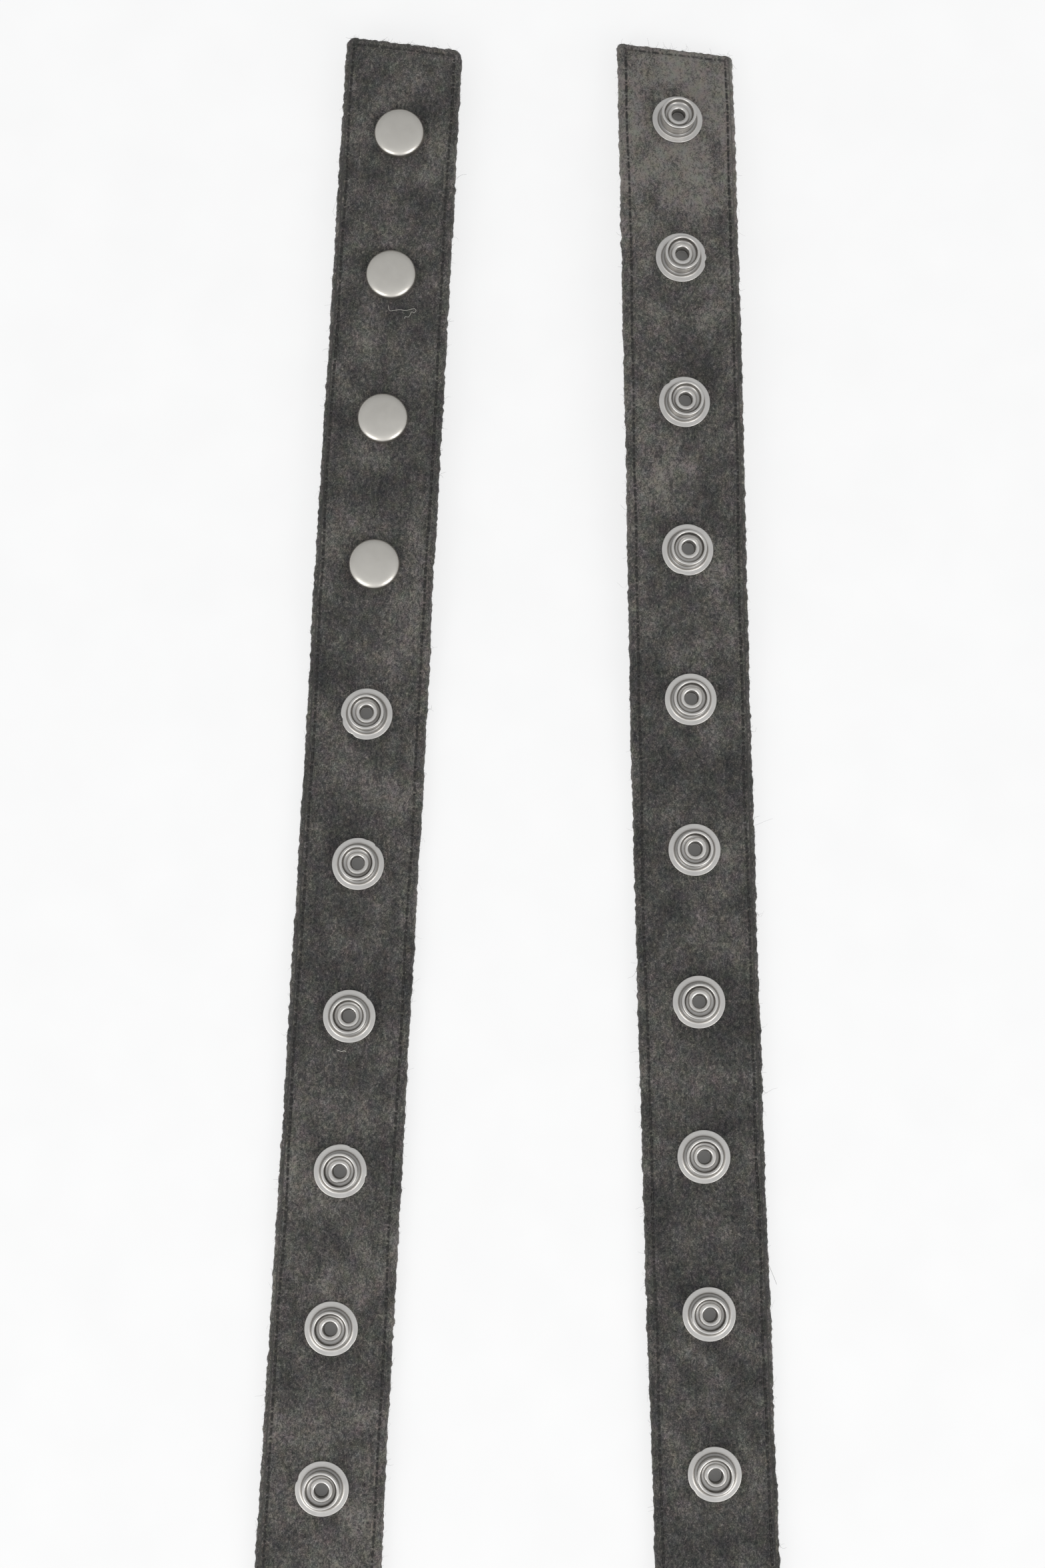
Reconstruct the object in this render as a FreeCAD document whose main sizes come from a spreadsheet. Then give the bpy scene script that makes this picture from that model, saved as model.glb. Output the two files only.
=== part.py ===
"""Long wool-felt strap that closes on itself with ring-spring snaps, laid on a table in a narrow U.

The strap is two plies of felt, topstitched along both long edges and across both ends. One end
carries four caps whose sockets are on the back; every other snap is a stud that faces up.
Places along the strap are given by the distance "along" it from the cap end, in millimetres.
The strap is cut into segments where it folds, and each segment is a rigid body of its own.
Frame: +Z up, +Y towards the strap's two ends, origin under the middle of the laid strap.
"""

import FreeCAD, Part

import math
import os

import Sketcher

doc = FreeCAD.newDocument("snap_strap")

# Driving dimensions, in millimetres and degrees
DIMENSIONS = {
    # strap
    "strap_width": 35,
    "ply_thickness": 2,
    "ply_gap": 0.04,
    "edge_radius": 1.5,
    "snap_pitch": 44,
    "snap_count": 29,
    "cap_count": 4,
    "cap_end_margin": 29,
    "stud_end_margin": 24,
    "cap_end_skew": 4.4,
    "stud_end_skew": 6.2,
    "fold_gap": 2.4,
    # topstitching
    "stitch_inset": 2.4,
    "groove_width": 0.8,
    "groove_depth": 0.4,
    "thread_width": 0.64,
    "thread_depth": 0.22,
    # felt under a snap
    "clamped_half": 1.6,
    "snap_pocket_radius": 7.9,
    "snap_hole_radius": 2.9,
    # snaps
    "sheet_metal": 0.5,
    "flange_radius": 7.6,
    "groove_radius": 6.15,
    "stud_head_radius": 5.25,
    "stud_neck_radius": 4.9,
    "stud_height": 4.3,
    "bowl_radius": 4.4,
    "flare_radius": 3.3,
    "barrel_radius": 2.55,
    "bore_radius": 1.95,
    "cap_radius": 7.5,
    "cap_crown": 2.7,
    "post_proud": 0.2,
    "socket_radius": 6.9,
    "socket_mouth_radius": 5.4,
    "socket_depth": 3.8,
    "spring_wire_radius": 0.4,
    "spring_ring_radius": 5.4,
    "spring_open_angle": 40,
    # how it lies
    "cap_end_x": -33.541,
    "cap_end_y": 306.744,
    "left_lean": 2.79,
    "right_lean": 1.56,
    "right_tip_lean": 0.61,
    "bend_start": 516.37,
    "bend_length": 252.12,
    "twist_start": 477,
    "twist_end": 813,
    "twist_length": 125,
    "socket_step_start": 165,
    "socket_step_length": 36,
    "arch_height": 6,
    "arch_start": 1022,
    "arch_peak": 1199,
    "tip_roll": 3.5,
    "tip_roll_start": 1052,
    "tip_roll_length": 120,
}

sheet = doc.addObject("Spreadsheet::Sheet", "dims")
for row, (alias, value) in enumerate(DIMENSIONS.items(), start=1):
    sheet.set(f"A{row}", alias)
    sheet.set(f"B{row}", str(value))
    sheet.setAlias(f"B{row}", alias)
doc.recompute()


class Sizes:
    """The sheet's cells as plain numbers: dim.strap_width and so on."""

    def __getattr__(self, alias):
        return float(sheet.get(alias))


dim = Sizes()
SNAP_COUNT = int(dim.snap_count)
CAP_COUNT = int(dim.cap_count)
LENGTH = dim.cap_end_margin + (SNAP_COUNT - 1) * dim.snap_pitch + dim.stud_end_margin
HALF_WIDTH = dim.strap_width / 2


def snap_place(number):
    return dim.cap_end_margin + number * dim.snap_pitch


def fold_place(number):
    """The fold midway between a snap and the next one."""
    return snap_place(number) + dim.snap_pitch / 2


FOLDS = {
    "left_tip_fold": fold_place(3),
    "left_mid_fold": fold_place(6),
    "left_base_fold": fold_place(9),
    "loop_bend": fold_place(14),
    "right_base_fold": fold_place(18),
    "right_mid_fold": fold_place(21),
    "right_tip_fold": fold_place(24),
}
SEGMENTS = [
    "left_tip",
    "left_mid",
    "left_base",
    "loop_left",
    "loop_right",
    "right_base",
    "right_mid",
    "right_tip",
]
SEGMENT_BOUNDS = [0, *FOLDS.values(), LENGTH]


# ---- how the strap lies ----


def eased(share):
    """0 before the start, 1 after the end, and level at both."""
    share = min(max(share, 0.0), 1.0)
    return share * share * (3 - 2 * share)


def heading(along):
    """Direction of the strap seen from above, in radians from +X."""
    turned = (180 + dim.left_lean + dim.right_lean) * eased((along - dim.bend_start) / dim.bend_length)
    right_arm = max(0.0, (along - FOLDS["right_base_fold"]) / (LENGTH - FOLDS["right_base_fold"]))
    straightened = (dim.right_lean - dim.right_tip_lean) * right_arm
    return math.radians(-90 - dim.left_lean + turned - straightened)


def roll(along):
    """Turn about the strap's own line, in radians: 90 degrees where it stands on edge."""
    standing = min(
        eased((along - dim.twist_start) / dim.twist_length),
        eased((dim.twist_end - along) / dim.twist_length),
    )
    tip = dim.tip_roll * eased((along - dim.tip_roll_start) / dim.tip_roll_length)
    return math.radians(90 * standing + tip)


def lift(along):
    """Height of the strap's back over the table where it doesn't lie flat on it."""
    on_sockets = dim.socket_depth * (1 - eased((along - dim.socket_step_start) / dim.socket_step_length))
    if along < dim.arch_peak:
        arch = eased((along - dim.arch_start) / (dim.arch_peak - dim.arch_start))
    else:
        arch = 1 - ((along - dim.arch_peak) / (LENGTH - dim.arch_peak)) ** 2
    return on_sockets + dim.arch_height * arch


def centre_height(along):
    """High enough for the posts' discs where it lies flat, and for the rounded edge where it is rolled."""
    turn = roll(along)
    edge = dim.edge_radius + dim.post_proud
    flat = (dim.ply_thickness - dim.edge_radius) * math.cos(turn)
    return lift(along) + edge + flat + (HALF_WIDTH - edge) * math.sin(turn)


PATH_STEP = 0.5
PATH_MARGIN = 5


def slope(along):
    return (centre_height(along + PATH_STEP / 2) - centre_height(along - PATH_STEP / 2)) / PATH_STEP


def walk(start_x, start_y, start, stop, step):
    """Plan points of the strap's middle line, one per step, from start to stop."""
    x, y = start_x, start_y
    points = [(x, y)]
    for index in range(round((stop - start) / step)):
        middle = start + (index + 0.5) * step
        run = step * math.sqrt(1 - slope(middle) ** 2)
        x += run * math.cos(heading(middle))
        y += run * math.sin(heading(middle))
        points.append((x, y))
    return points


before = walk(dim.cap_end_x, dim.cap_end_y, 0, -PATH_MARGIN, -PATH_STEP)
after = walk(dim.cap_end_x, dim.cap_end_y, 0, LENGTH + PATH_MARGIN, PATH_STEP)
PLAN = before[:0:-1] + after


def plan_point(along):
    index = (along + PATH_MARGIN) / PATH_STEP
    first = min(int(index), len(PLAN) - 2)
    share = index - first
    (x0, y0), (x1, y1) = PLAN[first], PLAN[first + 1]
    return x0 + (x1 - x0) * share, y0 + (y1 - y0) * share


def strap_frame(along):
    """The middle line's point, and the directions along, across (inwards) and up (out of the face)."""
    x, y = plan_point(along)
    rise = slope(along)
    run = math.sqrt(1 - rise * rise)
    forward = FreeCAD.Vector(run * math.cos(heading(along)), run * math.sin(heading(along)), rise)
    level = FreeCAD.Vector(-math.sin(heading(along)), math.cos(heading(along)), 0)
    normal = forward.cross(level)
    turn = roll(along)
    across = level * math.cos(turn) + normal * math.sin(turn)
    up = normal * math.cos(turn) - level * math.sin(turn)
    return FreeCAD.Vector(x, y, centre_height(along)), forward, across, up


def strap_placement(along):
    """Puts local X along the strap, Y across it and Z out of its face."""
    origin, forward, across, up = strap_frame(along)
    matrix = FreeCAD.Matrix(
        forward.x, across.x, up.x, origin.x,
        forward.y, across.y, up.y, origin.y,
        forward.z, across.z, up.z, origin.z,
        0, 0, 0, 1,
    )  # fmt: skip
    return FreeCAD.Placement(matrix)


# ---- felt plies and topstitching, lofted along the strap ----


def end_skew(along):
    """How much further along the strap a cut lies for each millimetre across it."""
    if along <= 0:
        return math.tan(math.radians(dim.cap_end_skew))
    if along >= LENGTH:
        return math.tan(math.radians(dim.stud_end_skew))
    return 0.0


def section_wire(along, outline):
    """One cross-section: outline is a list of corners (across, up), or (corner, arc's middle)."""
    origin, forward, across, up = strap_frame(along)
    cut = across + forward * end_skew(along)

    def place(corner):
        return origin + cut * corner[0] + up * corner[1]

    edges = []
    for (corner, middle), (following, _) in zip(outline, outline[1:] + outline[:1]):
        if middle is None:
            edges.append(Part.LineSegment(place(corner), place(following)).toShape())
        else:
            edges.append(Part.Arc(place(corner), place(middle), place(following)).toShape())
    return Part.Wire(edges)


def loft_along(start, stop, outline):
    """A solid of one outline from start to stop, with a section about every sixth of a pitch."""
    steps = max(3, round((stop - start) / (dim.snap_pitch / 6)))
    places = [start + (stop - start) * step / steps for step in range(steps + 1)]
    return Part.makeLoft([section_wire(place, outline) for place in places], True, False)


def corner(across, up):
    return (across, up), None


def ply_outline(side):
    """Half of the strap's section: flat on the middle, rounded at the edges, grooved for the thread.

    side is 1 for the face ply and -1 for the back ply."""
    outer = side * dim.ply_thickness
    inner = side * dim.ply_gap / 2
    shoulder = outer - side * dim.edge_radius
    diagonal = dim.edge_radius * math.sqrt(0.5)
    round_centre = HALF_WIDTH - dim.edge_radius
    groove_middle = HALF_WIDTH - dim.stitch_inset
    near = groove_middle - dim.groove_width / 2
    far = groove_middle + dim.groove_width / 2
    floor = outer - side * dim.groove_depth
    arc_middle = (round_centre + diagonal, shoulder + side * diagonal)
    arc_middle_back = (-round_centre - diagonal, shoulder + side * diagonal)
    return [
        corner(HALF_WIDTH, inner),
        ((HALF_WIDTH, shoulder), arc_middle),
        corner(round_centre, outer),
        corner(far, outer),
        corner(far, floor),
        corner(near, floor),
        corner(near, outer),
        corner(-near, outer),
        corner(-near, floor),
        corner(-far, floor),
        corner(-far, outer),
        ((-round_centre, outer), arc_middle_back),
        corner(-HALF_WIDTH, shoulder),
        corner(-HALF_WIDTH, inner),
    ]


def thread_outline(side, edge):
    """A row of stitches lying in the groove by one edge: edge is 1 for the inner row, -1 for the outer."""
    middle = edge * (HALF_WIDTH - dim.stitch_inset)
    top = side * (dim.ply_thickness - 0.05)
    bottom = top - side * dim.thread_depth
    half = dim.thread_width / 2
    return [
        corner(middle - half, bottom),
        corner(middle + half, bottom),
        corner(middle + half, top),
        corner(middle - half, top),
    ]


def box_across(place, skew, side, width, low, high, reach):
    """A straight bar across the strap by one end, from low to high over the strap's middle."""
    bar = Part.makeBox(width, 2 * reach, high - low, FreeCAD.Vector(-width / 2, -reach, low))
    if side < 0:
        bar = Part.makeBox(width, 2 * reach, high - low, FreeCAD.Vector(-width / 2, -reach, -high))
    turned = FreeCAD.Placement(FreeCAD.Vector(), FreeCAD.Rotation(FreeCAD.Vector(0, 0, 1), -skew))
    bar.Placement = strap_placement(place).multiply(turned)
    return bar


# the groove across an end is cut a little deeper than the long grooves that it opens into
END_GROOVE_EXTRA = 0.05


def end_rows(segment):
    """Where a segment's row of stitches across the strap's end lies, with its skew, if it has one."""
    rows = []
    if segment == SEGMENTS[0]:
        rows.append((dim.stitch_inset, dim.cap_end_skew))
    if segment == SEGMENTS[-1]:
        rows.append((LENGTH - dim.stitch_inset, dim.stud_end_skew))
    return rows


def snaps_between(start, stop):
    return [n for n in range(SNAP_COUNT) if start < snap_place(n) < stop]


def snap_cutter(number, side):
    """The hole for the snap's barrel and the dent that its flange presses into one ply."""
    hole = Part.makeCylinder(
        dim.snap_hole_radius, 4 * dim.ply_thickness, FreeCAD.Vector(0, 0, -2 * dim.ply_thickness)
    )
    low = dim.clamped_half if side > 0 else -dim.clamped_half - 4 * dim.ply_thickness
    dent = Part.makeCylinder(dim.snap_pocket_radius, 4 * dim.ply_thickness, FreeCAD.Vector(0, 0, low))
    cutter = hole.fuse(dent)
    cutter.Placement = strap_placement(snap_place(number))
    return cutter


def ply_shape(segment, start, stop, side):
    ply = loft_along(start, stop, ply_outline(side))
    cutters = [snap_cutter(number, side) for number in snaps_between(start, stop)]
    floor = dim.ply_thickness - dim.groove_depth - END_GROOVE_EXTRA
    reach = HALF_WIDTH - dim.stitch_inset
    for place, skew in end_rows(segment):
        cutters.append(
            box_across(place, skew, side, dim.groove_width, floor, 2 * dim.ply_thickness, reach)
        )
    return ply.cut(cutters)


def thread_shape(segment, start, stop, side):
    """Both long rows of one segment, and the row across the strap's end where the segment has it."""
    trim = dim.stitch_inset + dim.strap_width * math.tan(math.radians(dim.stud_end_skew)) / 2
    row_start = trim if start == 0 else start
    row_stop = LENGTH - trim if stop == LENGTH else stop
    rows = [loft_along(row_start, row_stop, thread_outline(side, edge)) for edge in (1, -1)]
    top = dim.ply_thickness - 0.05
    reach = HALF_WIDTH - dim.stitch_inset - dim.groove_width
    for place, skew in end_rows(segment):
        rows.append(
            box_across(place, skew, side, dim.thread_width, top - dim.thread_depth, top, reach)
        )
    return Part.makeCompound(rows)


def add_feature(label, shape):
    feature = doc.addObject("Part::Feature", label)
    feature.Shape = shape
    feature.Label = label
    return feature


# ---- snap pieces, turned about the snap's axis: Z is 0 at the strap's middle ----


def arc_middle(start, stop, radius):
    """The middle of the shorter arc on the right of start to stop."""
    chord = stop - start
    right = FreeCAD.Vector(chord.y, -chord.x, 0).normalize()
    half = chord.Length / 2
    rise = radius - math.sqrt(max(radius * radius - half * half, 0.0))
    return (start + stop) * 0.5 + right * rise


def crown_radius(start, stop):
    """The radius of an arc from start up to stop on the axis, centred on the axis."""
    rise = stop.y - start.y
    return (start.x**2 + rise**2) / (2 * rise)


def draw_profile(sketch, profile):
    """A closed outline bound to the sheet: each entry is (radius, height, size of the arc to the next).

    The outline runs anticlockwise and every arc bulges outwards. "crown" makes an arc up to the axis
    that is level there, and None makes a straight edge."""
    corners = [
        FreeCAD.Vector(float(sketch.evalExpression(r)), float(sketch.evalExpression(z)), 0)
        for r, z, _ in profile
    ]
    starts = []
    for index, (_, _, arc) in enumerate(profile):
        start, stop = corners[index], corners[(index + 1) % len(corners)]
        if arc is None:
            edge = Part.LineSegment(start, stop)
        else:
            size = crown_radius(start, stop) if arc == "crown" else float(sketch.evalExpression(arc))
            edge = Part.Arc(start, arc_middle(start, stop, size), stop)
        sketch.addGeometry(edge)
        drawn_from = sketch.Geometry[index].StartPoint
        starts.append(1 if drawn_from.distanceToPoint(start) < drawn_from.distanceToPoint(stop) else 2)
    for index, (radius, height, arc) in enumerate(profile):
        following = (index + 1) % len(profile)
        join = ("Coincident", index, 3 - starts[index], following, starts[following])
        sketch.addConstraint(Sketcher.Constraint(*join))
        bind_size(sketch, height, "DistanceY", -1, 1, index, starts[index], corners[index].y)
        if radius == "0":
            sketch.addConstraint(Sketcher.Constraint("PointOnObject", index, starts[index], -2))
        else:
            bind_size(sketch, radius, "DistanceX", -1, 1, index, starts[index], corners[index].x)
        if arc == "crown":
            sketch.addConstraint(Sketcher.Constraint("PointOnObject", index, 3, -2))
        elif arc is not None:
            bind_size(sketch, arc, "Radius", index, sketch.Geometry[index].Radius)


def bind_size(sketch, expression, *constraint):
    number = sketch.addConstraint(Sketcher.Constraint(*constraint))
    sketch.setExpression(f"Constraints[{number}]", expression)


def turned_piece(name, profile):
    """A body turned once round the snap's axis from a profile, as in draw_profile."""
    body = doc.addObject("PartDesign::Body", name)
    sketch = body.newObject("Sketcher::SketchObject", name + "_profile")
    plane = next(feature for feature in body.Origin.OriginFeatures if feature.Role == "XZ_Plane")
    sketch.AttachmentSupport = (plane, "")
    sketch.MapMode = "FlatFace"
    draw_profile(sketch, profile)
    revolution = body.newObject("PartDesign::Revolution", name + "_turned")
    revolution.Profile = sketch
    revolution.ReferenceAxis = (sketch, ["V_Axis"])
    revolution.Angle = 360
    body.Tip = revolution
    return body


FACE = "dims.clamped_half"
BACK = "-dims.clamped_half"
FLANGE_TOP = "dims.clamped_half + dims.sheet_metal"
STUD_TOP = f"{FLANGE_TOP} + dims.stud_height"
BOWL_FLOOR = f"{STUD_TOP} - 2"
SOCKET_BASE = "-dims.clamped_half - dims.sheet_metal"
SOCKET_MOUTH = "-dims.ply_thickness - dims.socket_depth"
CROWN = "dims.ply_thickness + dims.cap_crown"
ROLL_WIDTH = "(dims.flare_radius - dims.bore_radius)"


def make_stud():
    """Flange, groove, waisted ring and the bowl inside the ring, pressed from one sheet."""
    neck_inside = "dims.stud_neck_radius - dims.sheet_metal"
    return turned_piece("stud", [
        ("dims.barrel_radius + 0.1", f"{BOWL_FLOOR} - 0.4", None),
        ("dims.flare_radius", f"{BOWL_FLOOR} - 0.4", None),
        ("dims.bowl_radius - 0.5", f"{BOWL_FLOOR} - 0.25", None),
        (neck_inside, f"{BOWL_FLOOR} + 0.25", None),
        (neck_inside, f"{FACE} + 0.6", None),
        ("dims.stud_neck_radius + 0.1", FACE, None),
        ("dims.flange_radius - 0.15", FACE, "0.15"),
        ("dims.flange_radius", f"{FACE} + 0.15", None),
        ("dims.flange_radius", f"{FLANGE_TOP} - 0.15", "0.15"),
        ("dims.flange_radius - 0.15", FLANGE_TOP, None),
        ("dims.groove_radius + 0.15", f"{FLANGE_TOP} + 0.06", "0.22"),
        ("dims.groove_radius - 0.1", f"{FLANGE_TOP} - 0.1", None),
        ("dims.groove_radius - 0.3", f"{FLANGE_TOP} - 0.28", None),
        ("dims.stud_neck_radius + 0.5", f"{FLANGE_TOP} - 0.2", None),
        ("dims.stud_neck_radius + 0.15", f"{FLANGE_TOP} - 0.05", None),
        ("dims.stud_neck_radius", f"{FLANGE_TOP} + 0.35", None),
        ("dims.stud_neck_radius", f"{STUD_TOP} - 2.3", None),
        ("dims.stud_head_radius", f"{STUD_TOP} - 1.6", None),
        ("dims.stud_head_radius", f"{STUD_TOP} - 0.45", "0.45"),
        ("dims.stud_head_radius - 0.45", STUD_TOP, "0.4"),
        ("dims.bowl_radius", f"{STUD_TOP} - 0.4", None),
        ("dims.bowl_radius - 0.15", f"{STUD_TOP} - 1.1", None),
        ("dims.bowl_radius - 0.4", f"{BOWL_FLOOR} + 0.35", None),
        ("dims.flare_radius", BOWL_FLOOR, None),
        ("dims.barrel_radius + 0.1", BOWL_FLOOR, None),
    ])  # fmt: skip


def make_post():
    """The stud's back: a closed disc whose barrel runs up through the felt and is rolled over the bowl."""
    disc_bottom = "-dims.ply_thickness - dims.post_proud"
    return turned_piece("post", [
        ("0", disc_bottom, None),
        ("dims.flange_radius - 0.3", disc_bottom, "0.2"),
        ("dims.flange_radius - 0.1", f"{disc_bottom} + 0.2", None),
        ("dims.flange_radius - 0.1", BACK, None),
        ("dims.barrel_radius", BACK, None),
        ("dims.barrel_radius", BOWL_FLOOR, None),
        ("dims.flare_radius", BOWL_FLOOR, f"{ROLL_WIDTH} / 2 + 0.05"),
        ("dims.bore_radius", BOWL_FLOOR, None),
        ("dims.bore_radius", f"{FACE} + 0.9", None),
        ("0", f"{FACE} + 0.9", None),
    ])  # fmt: skip


def make_cap():
    """A low dome with a rounded rim; its barrel runs down through the felt and holds the socket."""
    shell = "dims.cap_radius - dims.sheet_metal"
    return turned_piece("cap", [
        ("dims.bore_radius", SOCKET_BASE, f"{ROLL_WIDTH} / 2 + 0.05"),
        ("dims.flare_radius", SOCKET_BASE, None),
        ("dims.barrel_radius", SOCKET_BASE, None),
        ("dims.barrel_radius", f"{CROWN} - 0.6", None),
        ("dims.cap_radius - 1.5", f"{CROWN} - 1", None),
        (shell, f"{CROWN} - 2.1", None),
        (shell, FACE, None),
        ("dims.cap_radius - 0.15", FACE, "0.15"),
        ("dims.cap_radius", f"{FACE} + 0.15", None),
        ("dims.cap_radius", f"{CROWN} - 2", "1.4"),
        ("dims.cap_radius - 1.15", f"{CROWN} - 0.62", "crown"),
        ("0", CROWN, None),
        ("0", f"{CROWN} - 0.6", None),
        ("dims.bore_radius", f"{CROWN} - 0.6", None),
    ])  # fmt: skip


def make_socket():
    """A cup on the strap's back with a lip that keeps the ring spring in."""
    inside = "dims.socket_radius - dims.sheet_metal"
    lip_top = f"{SOCKET_MOUTH} + dims.sheet_metal"
    return turned_piece("socket", [
        ("dims.socket_mouth_radius", SOCKET_MOUTH, None),
        ("dims.socket_radius - 0.5", SOCKET_MOUTH, "0.5"),
        ("dims.socket_radius", f"{SOCKET_MOUTH} + 0.5", None),
        ("dims.socket_radius", f"{BACK} - 0.4", "0.4"),
        ("dims.socket_radius - 0.4", BACK, None),
        ("dims.barrel_radius + 0.1", BACK, None),
        ("dims.barrel_radius + 0.1", SOCKET_BASE, None),
        (inside, SOCKET_BASE, None),
        (inside, lip_top, None),
        ("dims.socket_mouth_radius", lip_top, None),
    ])  # fmt: skip


def make_ring_spring():
    """The open wire ring inside a socket that snaps under the stud's head."""
    spring = doc.addObject("Part::Torus", "ring_spring")
    spring.setExpression("Radius1", "dims.spring_ring_radius")
    spring.setExpression("Radius2", "dims.spring_wire_radius")
    spring.setExpression("Angle3", "360 - dims.spring_open_angle")
    height = f"{SOCKET_MOUTH} + dims.sheet_metal + dims.spring_wire_radius + 0.02"
    spring.setExpression("Placement.Base.z", height)
    return spring


def add_snap_group(label, master, numbers):
    """One copy of a snap piece at each snap, as separate solids of one sub-part."""
    copies = []
    for number in numbers:
        copy = doc.addObject("App::Link", f"{label}_{number}")
        copy.LinkedObject = master
        copy.LinkTransform = True
        copy.LinkPlacement = strap_placement(snap_place(number))
        copies.append(copy)
    group = doc.addObject("Part::Compound", label)
    group.Links = copies
    group.Label = label
    return group


# ---- the strap, segment by segment ----

stud, post, cap, socket = make_stud(), make_post(), make_cap(), make_socket()
ring_spring = make_ring_spring()
doc.recompute()

sub_parts = []
for segment, low, high in zip(SEGMENTS, SEGMENT_BOUNDS, SEGMENT_BOUNDS[1:]):
    start = low if low == 0 else low + dim.fold_gap
    stop = high if high == LENGTH else high - dim.fold_gap
    sub_parts += [
        add_feature(f"felt_face_{segment}", ply_shape(segment, start, stop, 1)),
        add_feature(f"felt_back_{segment}", ply_shape(segment, start, stop, -1)),
        add_feature(f"needle_thread_{segment}", thread_shape(segment, start, stop, 1)),
        add_feature(f"bobbin_thread_{segment}", thread_shape(segment, start, stop, -1)),
    ]
    numbers = snaps_between(low, high)
    caps = [number for number in numbers if number < CAP_COUNT]
    studs = [number for number in numbers if number >= CAP_COUNT]
    if caps:
        sub_parts += [
            add_snap_group("snap_caps", cap, caps),
            add_snap_group("snap_sockets", socket, caps),
            add_snap_group("socket_ring_springs", ring_spring, caps),
        ]
    if studs:
        sub_parts += [
            add_snap_group(f"snap_studs_{segment}", stud, studs),
            add_snap_group(f"stud_posts_{segment}", post, studs),
        ]
doc.recompute()

for feature in doc.Objects:
    if {"Invalid", "Error"} & set(feature.State):
        raise RuntimeError(f"{feature.Label} failed: {feature.State}")
for sketch in doc.findObjects("Sketcher::SketchObject"):
    for edge in sketch.Geometry:
        if isinstance(edge, Part.ArcOfCircle) and edge.LastParameter - edge.FirstParameter > math.pi:
            raise RuntimeError(f"{sketch.Label} has an arc that runs the long way round")
for feature in sub_parts:
    shape = feature.Shape
    if shape.isNull() or not shape.isValid() or not shape.Solids:
        raise RuntimeError(f"{feature.Label} has no valid shape")

os.makedirs("parts", exist_ok=True)
for feature in sub_parts:
    feature.Shape.exportStep(f"parts/{feature.Label}.step")

box = Part.makeCompound([feature.Shape for feature in sub_parts]).BoundBox
print(f"{len(sub_parts)} sub-parts, {box.XLength:.2f} x {box.YLength:.2f} x {box.ZLength:.2f} mm")
print(f"middle {box.Center.x:.3f}, {box.Center.y:.3f}, lowest {box.ZMin:.3f}")
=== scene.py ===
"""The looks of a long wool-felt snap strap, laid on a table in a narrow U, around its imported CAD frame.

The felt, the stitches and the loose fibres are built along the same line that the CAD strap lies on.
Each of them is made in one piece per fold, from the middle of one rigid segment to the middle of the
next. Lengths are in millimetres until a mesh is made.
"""

import math

import bpy
import numpy as np
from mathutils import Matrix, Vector


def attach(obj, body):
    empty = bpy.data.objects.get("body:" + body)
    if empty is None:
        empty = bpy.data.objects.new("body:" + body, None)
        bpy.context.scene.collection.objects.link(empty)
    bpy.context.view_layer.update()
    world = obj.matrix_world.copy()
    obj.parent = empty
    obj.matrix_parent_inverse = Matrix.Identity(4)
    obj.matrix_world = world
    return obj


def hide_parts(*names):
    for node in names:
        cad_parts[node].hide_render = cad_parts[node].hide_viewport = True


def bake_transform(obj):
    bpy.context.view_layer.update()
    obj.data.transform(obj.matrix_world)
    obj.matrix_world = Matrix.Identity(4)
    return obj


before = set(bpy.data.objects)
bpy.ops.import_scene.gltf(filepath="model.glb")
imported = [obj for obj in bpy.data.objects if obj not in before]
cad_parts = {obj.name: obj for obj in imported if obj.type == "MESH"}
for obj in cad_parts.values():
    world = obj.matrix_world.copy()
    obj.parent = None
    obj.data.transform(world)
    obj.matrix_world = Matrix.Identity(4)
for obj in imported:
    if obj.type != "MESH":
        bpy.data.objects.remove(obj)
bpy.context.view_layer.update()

MM = 0.001

# ---- the camera over the table ----

FOCAL_LENGTH = 53.6
SENSOR_LONG_SIDE = 36.0
CAMERA_PLACE = (2.02, -4.7, 678.0)
CAMERA_TARGET = (2.02, 81.6, 4.2)
CLIP_START = 10.0

# ---- how the strap lies, as in the CAD model ----

WIDTH = 35.0
HALF_WIDTH = WIDTH / 2
HALF_THICKNESS = 2.0
EDGE_RADIUS = 1.5
SNAP_PITCH = 44.0
SNAP_COUNT = 29
CAP_COUNT = 4
CAP_END_MARGIN = 29.0
STUD_END_MARGIN = 24.0
LENGTH = CAP_END_MARGIN + (SNAP_COUNT - 1) * SNAP_PITCH + STUD_END_MARGIN
CAP_END_SKEW = math.radians(4.4)
STUD_END_SKEW = math.radians(6.2)
SKEW_REACH = 30.0

CAP_END = (-33.541, 306.744)
LEFT_LEAN = 2.79
RIGHT_LEAN = 1.56
RIGHT_TIP_LEAN = 0.61
BEND_START = 516.37
BEND_LENGTH = 252.12
TWIST_START = 477.0
TWIST_END = 813.0
TWIST_LENGTH = 125.0
SOCKET_DEPTH = 3.8
SOCKET_STEP_START = 165.0
SOCKET_STEP_LENGTH = 36.0
ARCH_HEIGHT = 6.0
ARCH_START = 1022.0
ARCH_PEAK = 1199.0
TIP_ROLL = 3.5
TIP_ROLL_START = 1052.0
TIP_ROLL_LENGTH = 120.0
POST_PROUD = 0.2
PATH_STEP = 0.5
PATH_MARGIN = 5.0

SEGMENTS = [
    "left_tip", "left_mid", "left_base", "loop_left",
    "loop_right", "right_base", "right_mid", "right_tip",
]  # fmt: skip


def snap_place(number):
    return CAP_END_MARGIN + number * SNAP_PITCH


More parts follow.
